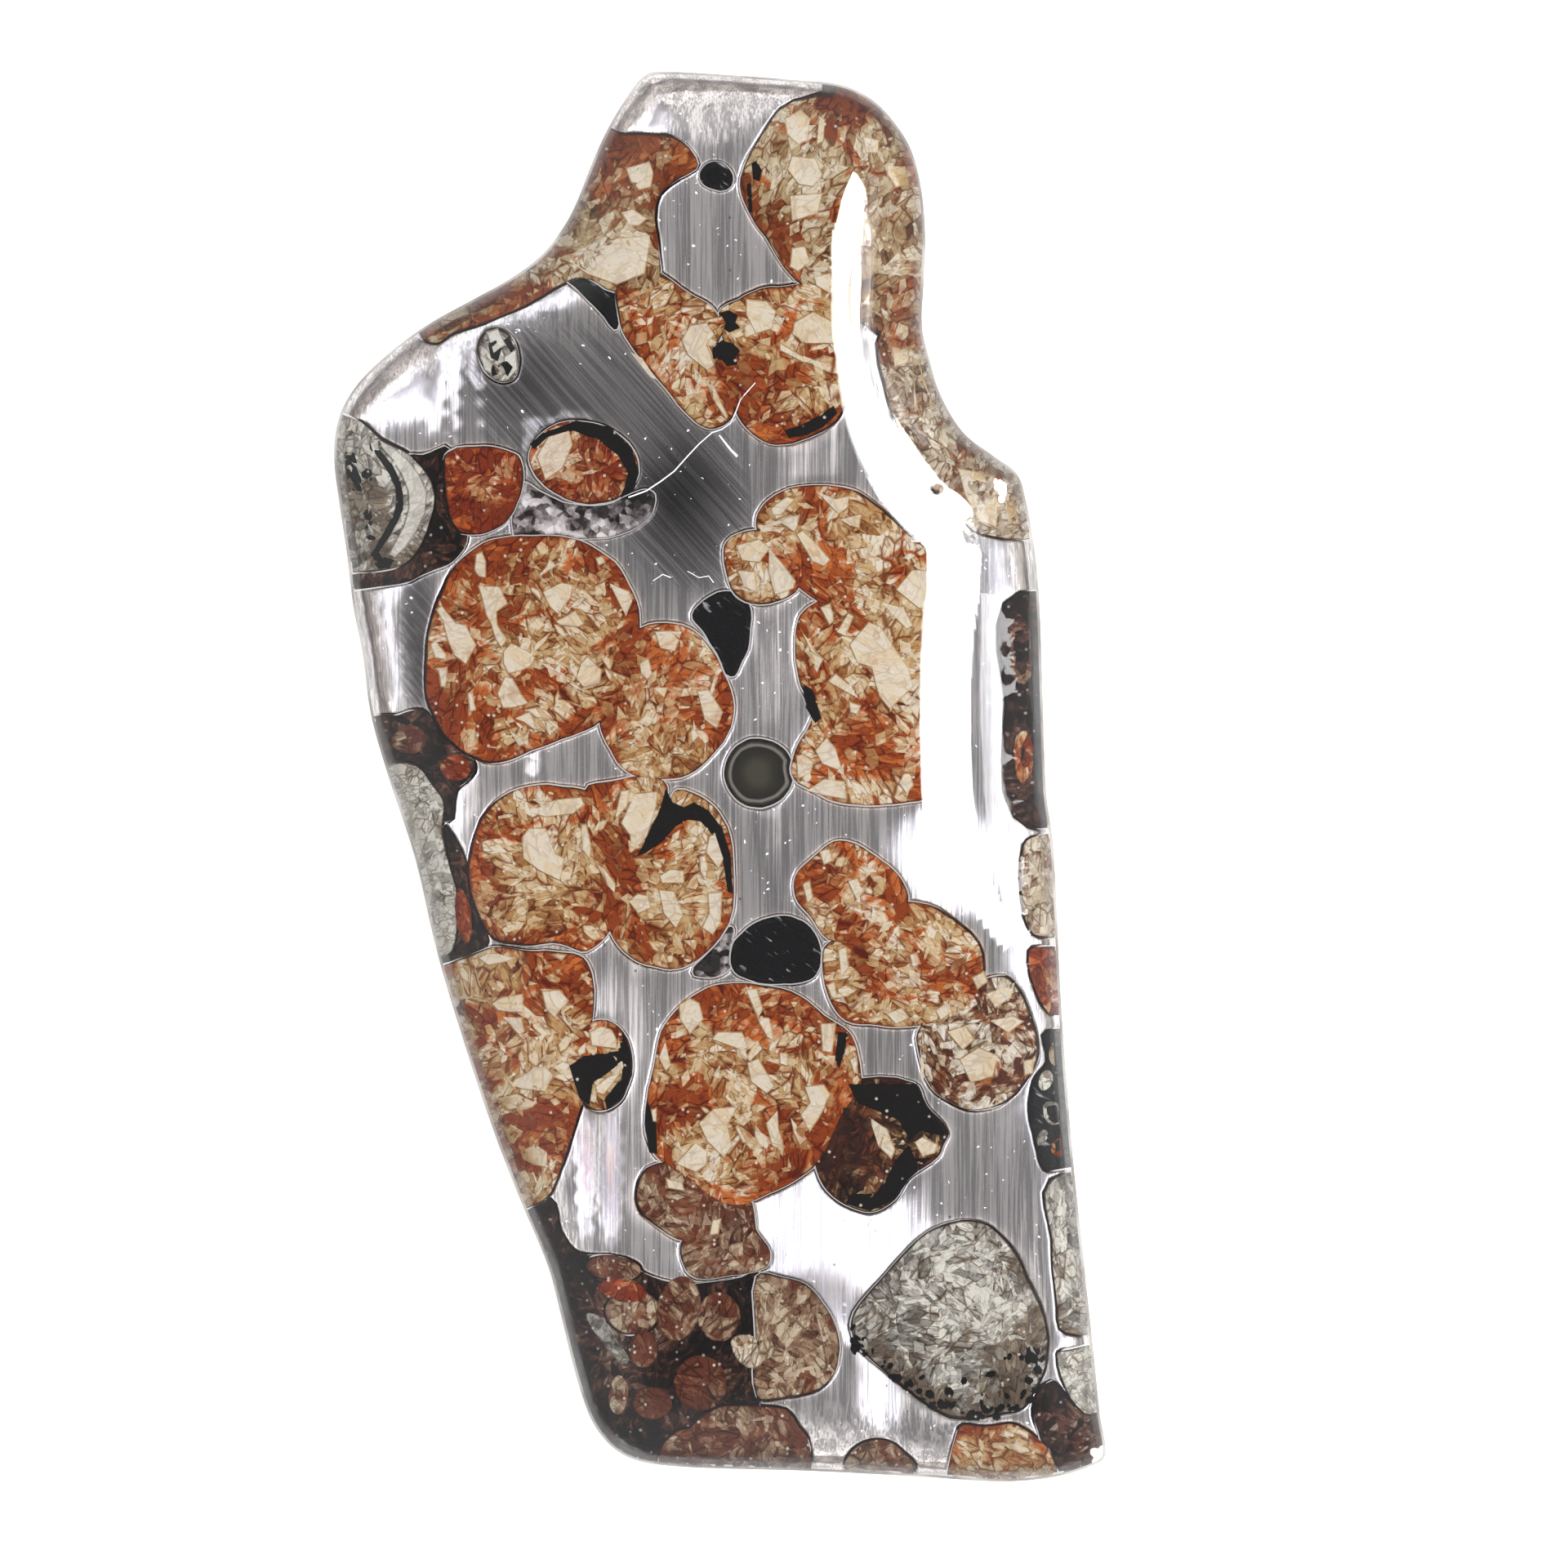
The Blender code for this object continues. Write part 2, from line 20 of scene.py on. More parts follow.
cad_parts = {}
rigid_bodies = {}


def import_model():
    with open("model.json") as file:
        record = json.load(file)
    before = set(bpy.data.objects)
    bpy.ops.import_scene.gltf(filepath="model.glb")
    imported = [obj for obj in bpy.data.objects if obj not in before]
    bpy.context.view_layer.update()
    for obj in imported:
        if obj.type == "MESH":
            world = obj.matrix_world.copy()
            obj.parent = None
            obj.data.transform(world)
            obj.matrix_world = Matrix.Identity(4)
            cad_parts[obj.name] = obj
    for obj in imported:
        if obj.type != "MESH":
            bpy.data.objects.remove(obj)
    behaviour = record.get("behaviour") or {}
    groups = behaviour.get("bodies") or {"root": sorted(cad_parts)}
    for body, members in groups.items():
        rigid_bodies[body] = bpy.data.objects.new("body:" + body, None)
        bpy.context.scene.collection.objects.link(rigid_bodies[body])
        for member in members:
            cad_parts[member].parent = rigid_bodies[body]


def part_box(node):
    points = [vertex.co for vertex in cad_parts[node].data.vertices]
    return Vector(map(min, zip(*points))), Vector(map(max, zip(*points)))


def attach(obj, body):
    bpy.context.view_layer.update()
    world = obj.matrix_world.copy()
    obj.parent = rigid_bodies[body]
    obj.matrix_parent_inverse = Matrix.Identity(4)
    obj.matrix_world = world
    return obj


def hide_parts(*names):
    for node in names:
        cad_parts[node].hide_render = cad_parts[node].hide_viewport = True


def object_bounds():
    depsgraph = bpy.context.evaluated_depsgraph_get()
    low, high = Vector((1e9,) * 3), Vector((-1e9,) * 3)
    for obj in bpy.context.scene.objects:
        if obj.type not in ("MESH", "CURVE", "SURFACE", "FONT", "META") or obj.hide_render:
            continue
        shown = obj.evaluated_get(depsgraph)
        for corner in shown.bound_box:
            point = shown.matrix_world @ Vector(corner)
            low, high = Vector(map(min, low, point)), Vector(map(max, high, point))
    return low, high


bl_info = {
    "name": "Pallasite slice",
    "version": (1, 0, 0),
    "blender": (4, 5, 0),
    "location": "3D View > Sidebar > Pallasite",
    "description": "Makes the visible pieces of a pallasite meteorite slice sealed in clear resin",
    "category": "Object",
}

for leftover in list(bpy.data.objects):
    bpy.data.objects.remove(leftover)
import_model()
CAD_LOW, CAD_HIGH = [list(corner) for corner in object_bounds()]

# The photograph's pixels
PHOTO_SIZE = 1920
PHOTO_TOP, PHOTO_BOTTOM = 88, 1814
PHOTO_LEFT, PHOTO_RIGHT = 409, 1354
METRES_PER_PIXEL = (CAD_HIGH[1] - CAD_LOW[1]) / (PHOTO_BOTTOM - PHOTO_TOP)

MM = 0.001
BATCH = 4000  # how many points are compared with a loop's sides at a time
RESIN_TOP = CAD_HIGH[2]
SLICE_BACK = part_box("metal_plate")[0][2]
SLICE_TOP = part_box("metal_plate")[1][2]
MARGIN = 0.62 * MM  # clear resin around the slice
SEAM = 0.03 * MM  # half of the gap between neighbouring pieces
SLICE_RIM = 1.1 * MM  # how far the polished face falls to the slice's edge
SLICE_BACK_RIM = 0.45 * MM  # the same at the back, and how wide that edge is
SLICE_BACK_ROLL = 0.4 * MM
RESIN_EDGE_FRONT = 1.7 * MM  # heights between which the resin's edge stands upright
RESIN_EDGE_BACK = 0.8 * MM
PLATE_THICKNESS = 0.08 * MM
PLATE_SLOPE = 0.05 * MM  # how wide a plate's sloping edge is
PLATE_FALL = 0.06 * MM  # how far that edge falls
CHIP_THICKNESS = 0.012 * MM
HAIR_LIFT = 0.035 * MM
HAIR_THICKNESS = 0.03 * MM

SILHOUETTE = (
    (785, 96), (800, 88), (880, 91), (975, 98), (1030, 104), (1068, 122), (1096, 151), (1116, 184),
    (1128, 230), (1133, 290), (1131, 346), (1129, 400), (1138, 440), (1152, 484), (1180, 530), (1219, 560),
    (1246, 581), (1256, 612), (1265, 660), (1272, 724), (1277, 862), (1281, 970), (1290, 1040),
    (1300, 1240), (1313, 1408), (1327, 1544), (1340, 1665), (1347, 1733), (1354, 1776), (1347, 1790),
    (1293, 1808), (1225, 1814), (1124, 1808), (988, 1801), (853, 1797), (786, 1790), (752, 1774),
    (725, 1740), (704, 1679), (684, 1598), (671, 1550), (637, 1469), (603, 1381), (563, 1260), (535, 1165),
    (508, 1050), (475, 949), (454, 874), (444, 800), (433, 745), (425, 678), (415, 613), (409, 555),
    (416, 509), (438, 470), (478, 431), (523, 398), (575, 369), (627, 340), (666, 310), (692, 275),
    (706, 248), (725, 200), (744, 158), (770, 115),
)


def oval(x, y, across, down, tilt=0.0, steps=12):
    """An oval outline in pixels: its middle, its two half widths and its tilt in degrees."""
    c, s = cos(radians(tilt)), sin(radians(tilt))
    loop = []
    for i in range(steps):
        along, aside = across * cos(tau * i / steps), down * sin(tau * i / steps)
        loop.append((x + along * c - aside * s, y + along * s + aside * c))
    return loop


def specks(line, count, spread, seed):
    """Small shards strewn along a line, in pixels."""
    chance = Random(seed)
    shards = []
    for _ in range(count):
        place = chance.random() * (len(line) - 1)
        start, end = line[int(place)], line[int(place) + 1]
        x, y = (a + (b - a) * (place % 1) for a, b in zip(start, end))
        x, y = x + chance.gauss(0, spread), y + chance.gauss(0, spread)
        size = chance.uniform(1.5, 8.0)
        shards.append(oval(x, y, size, size * chance.uniform(0.35, 0.9), chance.uniform(-90, 90), 6))
    return shards


# Each piece's outlines. Outlines that share a name are crystals that grew together.
CRYSTALS = {
    "olivine_upper_cluster": (
        (
            (725, 168), (765, 165), (801, 167), (832, 174), (857, 204), (835, 222), (812, 242), (806, 270),
            (809, 310), (807, 348), (755, 360), (715, 345), (690, 354), (660, 372), (605, 397), (560, 412),
            (530, 426), (490, 400), (620, 320), (665, 280), (692, 235),
        ),
        (
            (762, 336), (800, 330), (845, 360), (871, 375), (886, 403), (880, 424), (900, 446), (918, 464),
            (908, 488), (896, 513), (871, 526), (844, 513), (816, 479), (776, 430), (760, 400),
        ),
        (
            (880, 385), (905, 366), (930, 355), (960, 351), (994, 350), (1035, 370), (1048, 400),
            (1045, 450), (1033, 500), (1018, 522), (990, 537), (950, 547), (920, 532), (898, 500),
            (890, 440),
        ),
        (
            (954, 137), (988, 124), (1025, 122), (1075, 128), (1125, 150), (1155, 220), (1160, 330),
            (1155, 420), (1100, 425), (1050, 395), (1021, 378), (994, 362), (966, 338), (936, 292),
            (914, 256), (905, 220), (930, 173),
        ),
        (
            (1078, 400), (1155, 400), (1170, 450), (1215, 510), (1280, 555), (1290, 650), (1200, 656),
            (1165, 625), (1130, 590), (1105, 550), (1085, 500),
        ),
    ),
    "olivine_small_shard": (oval(613, 439, 25, 34, -20, 10),),
    "olivine_rust_round": (
        (
            (551, 553), (594, 547), (632, 555), (642, 572), (640, 600), (630, 625), (615, 645), (590, 655),
            (562, 650), (548, 610), (545, 575),
        ),
    ),
    "olivine_red_oval": (oval(716, 567, 68, 50, 12, 14),),
    "olivine_pale_crescent": (
        (
            (436, 512), (472, 538), (503, 555), (526, 580), (536, 607), (530, 640), (512, 680), (487, 697),
            (445, 700), (385, 690), (375, 600), (380, 530),
        ),
    ),
    "olivine_large_pair": (
        (
            (523, 814), (527, 772), (545, 718), (570, 682), (602, 661), (650, 656), (700, 659), (745, 680),
            (772, 716), (785, 759), (780, 810), (755, 860), (728, 890), (690, 906), (653, 921), (616, 934),
            (577, 925), (543, 894), (525, 855),
        ),
        (
            (760, 790), (794, 765), (836, 765), (861, 781), (883, 814), (898, 854), (895, 891), (873, 925),
            (843, 949), (806, 955), (769, 946), (748, 918), (734, 888), (736, 835),
        ),
    ),
    "olivine_centre_cluster": (
        (
            (886, 690), (890, 663), (921, 649), (950, 655), (985, 690), (978, 721), (958, 735), (928, 741),
            (899, 729),
        ),
        (
            (924, 637), (940, 612), (976, 596), (1013, 595), (1050, 603), (1080, 627), (1110, 652),
            (1145, 690), (1148, 740), (1090, 750), (1020, 745), (970, 715), (945, 685), (928, 660),
        ),
        (
            (976, 759), (992, 741), (1030, 728), (1060, 760), (1050, 850), (1020, 885), (985, 850),
            (973, 810),
        ),
        (
            (1020, 735), (1060, 720), (1120, 705), (1148, 735), (1150, 790), (1145, 860), (1142, 895),
            (1050, 895), (1003, 880), (1005, 800),
        ),
        (
            (1003, 870), (1050, 875), (1100, 875), (1142, 885), (1146, 930), (1138, 975), (1105, 984),
            (1065, 987), (1030, 984), (1000, 972), (970, 955), (970, 925), (985, 898),
        ),
    ),
    "olivine_middle_trio": (
        (
            (576, 1071), (583, 1022), (604, 986), (638, 964), (684, 961), (720, 968), (752, 985),
            (772, 1015), (775, 1050), (762, 1095), (748, 1140), (720, 1166), (690, 1156), (647, 1157),
            (607, 1148), (585, 1114),
        ),
        (
            (716, 968), (751, 955), (782, 949), (812, 955), (818, 975), (803, 1005), (791, 1035),
            (760, 1050), (740, 1015),
        ),
        (
            (755, 1080), (770, 1050), (797, 1022), (818, 985), (830, 966), (867, 980), (892, 1012),
            (900, 1060), (894, 1130), (867, 1166), (837, 1185), (806, 1186), (776, 1176), (751, 1151),
            (742, 1115),
        ),
    ),
    "olivine_pale_edge": (
        (
            (478, 930), (512, 936), (532, 960), (546, 980), (545, 1010), (550, 1045), (562, 1085),
            (564, 1130), (556, 1172), (520, 1200), (470, 1090), (430, 940),
        ),
    ),
    "olivine_left_edge_pair": (
        (
            (575, 1170), (607, 1158), (653, 1162), (690, 1164), (716, 1172), (729, 1200), (728, 1245),
            (722, 1290), (718, 1340), (701, 1400), (690, 1430), (673, 1465), (640, 1480), (580, 1440),
            (530, 1300), (520, 1200),
        ),
        oval(737, 1303, 39, 56, 0, 14),
    ),
    "olivine_lower_cluster": (
        (
            (861, 1210), (885, 1203), (930, 1205), (980, 1218), (1010, 1242), (1040, 1262), (1052, 1290),
            (1054, 1328), (1030, 1365), (1019, 1392), (1001, 1423), (973, 1446), (943, 1461), (912, 1474),
            (880, 1470), (840, 1440), (802, 1413), (790, 1376), (793, 1340), (800, 1306), (810, 1261),
            (833, 1231),
        ),
        (
            (1035, 1324), (1120, 1324), (1134, 1352), (1159, 1384), (1155, 1402), (1148, 1417),
            (1114, 1441), (1096, 1469), (1065, 1484), (1035, 1475), (1007, 1450), (995, 1410), (1015, 1370),
        ),
        (
            (780, 1450), (793, 1428), (823, 1422), (860, 1440), (905, 1468), (895, 1485), (872, 1502),
            (848, 1517), (826, 1514), (802, 1499), (784, 1480),
        ),
        (
            (836, 1518), (862, 1500), (885, 1470), (918, 1466), (927, 1505), (944, 1532), (938, 1552),
            (897, 1562), (854, 1564), (838, 1550),
        ),
    ),
    "olivine_right_cluster": (
        (
            (973, 1073), (995, 1049), (1022, 1029), (1050, 1033), (1080, 1052), (1104, 1076), (1112, 1105),
            (1090, 1135), (1050, 1150), (1013, 1150), (992, 1122), (973, 1100),
        ),
        (
            (1007, 1190), (1007, 1160), (1031, 1142), (1062, 1125), (1093, 1105), (1135, 1107),
            (1166, 1125), (1191, 1147), (1202, 1175), (1195, 1215), (1165, 1245), (1112, 1257),
            (1074, 1255), (1035, 1249), (1013, 1220),
        ),
        (
            (1122, 1262), (1148, 1226), (1184, 1205), (1227, 1194), (1248, 1215), (1262, 1250),
            (1268, 1290), (1252, 1325), (1227, 1350), (1191, 1360), (1158, 1348), (1136, 1326),
            (1124, 1291),
        ),
    ),
    "olivine_rim_pale": (
        ((1250, 1035), (1275, 1020), (1330, 1015), (1335, 1140), (1290, 1148), (1262, 1145), (1248, 1100)),
    ),
    "olivine_rim_orange": (
        ((1256, 1164), (1285, 1160), (1335, 1160), (1340, 1250), (1289, 1252), (1268, 1225)),
    ),
    "olivine_rim_strip": (
        ((1282, 1444), (1355, 1444), (1380, 1632), (1302, 1632), (1290, 1590), (1284, 1520)),
    ),
    "olivine_tan_round": (
        (
            (926, 1562), (960, 1562), (995, 1578), (1019, 1612), (1029, 1649), (1019, 1682), (995, 1702),
            (958, 1708), (926, 1706), (924, 1640),
        ),
    ),
    "olivine_brown_lens": (oval(754, 1551, 34, 17, 8, 10),),
    "olivine_tan_lens": (oval(777, 1604, 34, 29, 0, 10),),
    "olivine_grey_large": (
        (
            (1041, 1613), (1062, 1582), (1090, 1551), (1120, 1518), (1151, 1499), (1182, 1492),
            (1212, 1502), (1237, 1527), (1255, 1564), (1270, 1594), (1280, 1630), (1279, 1665),
            (1266, 1700), (1250, 1722), (1224, 1728), (1194, 1732), (1163, 1731), (1133, 1714),
            (1096, 1686), (1059, 1655), (1044, 1640),
        ),
    ),
    "olivine_pale_corner": (
        ((1290, 1656), (1305, 1650), (1380, 1650), (1385, 1740), (1345, 1745), (1306, 1710)),
    ),
    "olivine_bottom_amber": (
        ((1172, 1744), (1206, 1742), (1245, 1742), (1290, 1780), (1300, 1840), (1172, 1840)),
    ),
    "olivine_bottom_disc": (
        (
            (1022, 1840), (1026, 1794), (1040, 1773), (1059, 1761), (1084, 1759), (1108, 1773),
            (1127, 1792), (1131, 1840),
        ),
    ),
    "olivine_bottom_cluster": (
        ((795, 1840), (805, 1780), (814, 1760), (836, 1745), (870, 1745), (890, 1770), (900, 1840)),
        (
            (845, 1750), (872, 1722), (903, 1716), (935, 1716), (962, 1722), (978, 1742), (990, 1756),
            (992, 1840), (880, 1840),
        ),
    ),
}
GRAINS = {
    "black_grain_top": (oval(878, 219, 21, 17, 20, 10),),
    "black_wedge": (((690, 335), (722, 343), (752, 352), (758, 405), (735, 385), (712, 362)),),
    "black_grain_centre": (
        (
            (846, 753), (867, 732), (892, 723), (918, 738), (919, 778), (910, 811), (895, 830), (877, 802),
            (861, 775),
        ),
    ),
    "black_bead": (oval(929, 946, 43, 43, 0, 14),),
    "black_grain_lower": (
        (
            (894, 1168), (902, 1148), (927, 1128), (961, 1121), (989, 1131), (1004, 1156), (1002, 1192),
            (982, 1202), (952, 1206), (921, 1202), (899, 1190),
        ),
    ),
    "black_grain_rim": (
        (
            (1262, 1322), (1276, 1300), (1276, 1262), (1345, 1262), (1360, 1436), (1295, 1432),
            (1275, 1432), (1264, 1400), (1257, 1360),
        ),
    ),
}
OXIDES = {
    "oxide_left_shoulder": (
        (
            (420, 690), (500, 560), (523, 556), (553, 550), (575, 655), (560, 688), (527, 702), (500, 714),
            (380, 720),
        ),
    ),
    "oxide_left_middle": (
        (
            (420, 876), (490, 874), (520, 868), (545, 895), (580, 925), (585, 945), (562, 968), (552, 1005),
            (440, 960),
        ),
    ),
    "oxide_left_vein": (((540, 1012), (575, 1055), (600, 1150), (583, 1175), (548, 1175), (545, 1100)),),
    "oxide_lower_left": (
        (
            (630, 1480), (676, 1465), (690, 1505), (713, 1532), (762, 1536), (793, 1557), (836, 1569),
            (897, 1566), (935, 1560), (935, 1706), (900, 1728), (836, 1760), (800, 1840), (700, 1820),
            (630, 1560),
        ),
    ),
    "oxide_right_rim": (((1228, 738), (1310, 738), (1320, 1005), (1238, 1000), (1228, 860)),),
    "oxide_corner_bar": (
        (
            (1262, 1722), (1282, 1690), (1310, 1716), (1350, 1760), (1385, 1780), (1350, 1840),
            (1290, 1840), (1272, 1760),
        ),
    ),
}
PATCHES = {
    "granular_patch_upper": (
        (
            (640, 592), (662, 602), (690, 615), (740, 618), (785, 600), (803, 606), (795, 635), (760, 655),
            (700, 662), (660, 660), (628, 655),
        ),
    ),
    "granular_patch_lower": (
        ((848, 1190), (865, 1168), (888, 1138), (898, 1134), (898, 1150), (896, 1185), (870, 1197)),
    ),
}
# A place inside each island of metal, in pixels
METAL = {
    "metal_top_cap": (850, 150),
    "metal_upper_centre": (870, 300),
    "metal_plate": (700, 480),
    "metal_left_strip": (490, 780),
    "metal_crescent": (640, 945),
    "metal_inner_strip": (760, 1400),
    "metal_sliver": (1000, 1222),
    "metal_lower_right": (1000, 1510),
}
# The crystals with the record's pale finish
PALE = {
    "olivine_small_shard", "olivine_pale_crescent", "olivine_pale_edge", "olivine_rim_pale",
    "olivine_rim_strip", "olivine_grey_large", "olivine_pale_corner",
}
# Small crystals in the rust, which the frame leaves in the rust masses: outline, tone and kind
SMALL_CRYSTALS = {
    "oxide_lower_left": (
        (oval(790, 1650, 17, 23, 0, 10), 0.66, "brown"), (oval(764, 1578, 30, 14, 8, 10), 0.92, "red"),
        (((719, 1609), (735, 1609), (760, 1640), (771, 1668), (745, 1650)), 0.50, "grey"),
        (oval(759, 1706, 12, 24, 5, 10), 0.35, "brown"),
        (((894, 1640), (924, 1636), (924, 1673)), 0.22, "pale"),
        (oval(832, 1600, 26, 40, 10, 10), 0.78, "brown"), (oval(858, 1690, 32, 34, 0, 10), 0.86, "brown"),
        (oval(880, 1610, 26, 30, 0, 10), 0.74, "brown"), (oval(800, 1715, 24, 20, 0, 10), 0.88, "brown"),
    ),
    "oxide_right_rim": (
        (((1236, 775), (1252, 770), (1256, 800), (1252, 838), (1238, 830)), 0.62, "brown"),
        (((1240, 905), (1252, 896), (1258, 930), (1252, 958), (1242, 950)), 0.70, "red"),
    ),
    "oxide_left_middle": (
        (oval(560, 940, 18, 16, 0, 10), 0.8, "red"), (oval(505, 905, 20, 18, 0, 10), 0.75, "brown"),
    ),
    "oxide_left_vein": ((oval(570, 1120, 9, 34, -8, 10), 0.8, "red"),),
    "black_grain_rim": (
        (oval(1276, 1322, 7, 13, 10, 8), 0.25, "grey"), (oval(1284, 1362, 9, 15, -15, 8), 0.35, "grey"),
        (oval(1273, 1392, 6, 11, 20, 8), 0.45, "grey"), (oval(1290, 1405, 7, 12, 0, 8), 0.75, "red"),
        (oval(1286, 1290, 7, 16, 0, 8), 0.30, "pale"),
    ),
}

# The finish of each crystal in a piece, in the order of its outlines
KINDS = {
    "olivine_upper_cluster": ("golden", "amber", "amber", "golden", "pale"),
    "olivine_small_shard": ("grey",),
    "olivine_rust_round": ("red",),
    "olivine_red_oval": ("red",),
    "olivine_pale_crescent": ("grey",),
    "olivine_middle_trio": ("amber", "amber", "amber"),
    "olivine_pale_edge": ("grey",),
    "olivine_lower_cluster": ("amber", "dark", "brown", "brown"),
    "olivine_right_cluster": ("amber", "amber", "cream"),
    "olivine_rim_pale": ("pale",),
    "olivine_rim_orange": ("red",),
    "olivine_rim_strip": ("grey",),
    "olivine_tan_round": ("brown",),
    "olivine_brown_lens": ("brown",),
    "olivine_tan_lens": ("brown",),
    "olivine_grey_large": ("grey",),
    "olivine_pale_corner": ("grey",),
    "olivine_bottom_disc": ("brown",),
    "olivine_bottom_cluster": ("brown", "brown"),
}

# How rusty each piece is on the whole, from 0 for clear to 1 for deep rust
RUST = {
    "olivine_upper_cluster": 0.42,
    "olivine_small_shard": 0.35,
    "olivine_rust_round": 0.78,
    "olivine_red_oval": 0.54,
    "olivine_pale_crescent": 0.15,
    "olivine_large_pair": 0.50,
    "olivine_centre_cluster": 0.46,
    "olivine_middle_trio": 0.50,
    "olivine_pale_edge": 0.0,
    "olivine_left_edge_pair": 0.52,
    "olivine_lower_cluster": 0.54,
    "olivine_right_cluster": 0.50,
    "olivine_rim_pale": 0.30,
    "olivine_rim_orange": 0.60,
    "olivine_rim_strip": 0.30,
    "olivine_tan_round": 0.36,
    "olivine_brown_lens": 0.60,
    "olivine_tan_lens": 0.40,
    "olivine_grey_large": 0.40,
    "olivine_pale_corner": 0.10,
    "olivine_bottom_amber": 0.40,
    "olivine_bottom_disc": 0.45,
    "olivine_bottom_cluster": 0.58,
}

# Rustier and clearer places: x, y and radius in pixels, and how much is added there
SPOTS = (
    # The two crystals in the neck
    (762, 249, 50, 0.35), (830, 212, 30, 0.40), (772, 178, 32, 0.45), (774, 344, 18, 0.35),
    (806, 300, 14, 0.35),
    (745, 315, 40, -0.30), (925, 240, 36, 0.50), (945, 285, 26, 0.45), (1030, 130, 30, 0.45),
    (1024, 165, 20, 0.35),
    (1098, 280, 18, 0.35), (1060, 135, 20, 0.40), (985, 215, 45, -0.20), (610, 370, 60, 0.30),
    # The pair under the neck
    (785, 430, 16, 0.35), (895, 490, 22, 0.45), (918, 460, 26, 0.55), (955, 515, 45, 0.45),
    (1010, 515, 25, 0.60),
    (975, 455, 22, 0.30), (920, 372, 16, 0.35), (995, 400, 36, -0.20), (850, 420, 26, -0.20),
    # The red and rust-coloured ones at the left
    (672, 560, 26, -0.45), (730, 580, 26, 0.20), (590, 600, 24, -0.20),
    # The large pair
    (612, 676, 42, 0.35), (560, 710, 26, 0.25), (580, 760, 18, 0.30), (737, 690, 30, 0.30),
    (772, 800, 34, 0.35),
    (545, 870, 32, 0.45), (600, 900, 34, 0.35), (700, 905, 28, 0.25), (590, 850, 22, 0.25),
    (640, 730, 20, 0.20),
    (690, 800, 50, -0.15), (760, 860, 22, 0.25), (815, 870, 34, 0.15), (835, 935, 26, 0.20),
    (820, 790, 28, -0.15),
    # The cluster beside the highlight
    (962, 680, 22, 0.30), (1016, 700, 20, 0.35), (1010, 765, 18, 0.40), (1000, 835, 18, 0.55),
    (1075, 888, 34, 0.35),
    (1042, 915, 24, 0.40), (1090, 940, 30, 0.25), (1080, 800, 40, -0.25), (1100, 660, 30, -0.15),
    (990, 945, 24, -0.15), (990, 615, 18, 0.15),
    # The trio
    (745, 1030, 28, 0.35), (720, 1110, 34, 0.25), (600, 1090, 30, 0.15), (660, 1145, 40, 0.25),
    (735, 975, 16, 0.35),
    (655, 1050, 44, -0.20), (785, 1150, 40, 0.30), (845, 1065, 16, 0.40), (862, 1155, 20, 0.40),
    (765, 1085, 22, 0.30),
    (830, 1110, 30, -0.15),
    # The pair at the left edge
    (600, 1205, 24, 0.35), (650, 1170, 26, 0.25), (705, 1200, 24, 0.30), (655, 1372, 24, 0.40),
    (688, 1368, 22, 0.60),
    (660, 1280, 40, -0.10), (575, 1400, 60, -0.20),
    # The lower cluster
    (880, 1232, 30, 0.50), (825, 1345, 30, 0.35), (798, 1360, 18, 0.50), (975, 1225, 34, 0.20),
    (1015, 1320, 22, 0.35),
    (960, 1445, 50, 0.30), (1040, 1375, 16, 0.35), (870, 1300, 36, -0.10), (880, 1400, 40, -0.20),
    # The right cluster
    (1010, 1085, 26, 0.25), (1085, 1090, 22, 0.30), (1060, 1180, 34, 0.20), (1160, 1200, 26, 0.15),
    (1150, 1310, 24, 0.25), (1150, 1160, 26, -0.15),
    # The lower right and the foot
    (1080, 1650, 22, 0.5), (1110, 1692, 24, 0.5), (1150, 1718, 24, 0.5), (1195, 1724, 24, 0.5),
    (1240, 1660, 20, 0.45),
    (1235, 1700, 26, 0.6), (1140, 1560, 50, -0.15), (440, 600, 26, 0.5), (430, 660, 26, 0.3),
    (505, 600, 40, -0.1),
    (466, 600, 18, 0.6), (470, 640, 18, 0.6), (466, 682, 16, 0.8), (447, 560, 14, 0.5), (425, 530, 16, 0.6),
    (430, 585, 16, 0.4),
    (505, 690, 20, 0.5), (412, 620, 16, -0.1), (420, 690, 16, 0.3),
    (1040, 1400, 40, 0.3),
    (980, 1640, 36, -0.12), (1190, 1580, 50, -0.15), (1100, 1680, 30, 0.25), (1235, 1690, 34, 0.25),
)

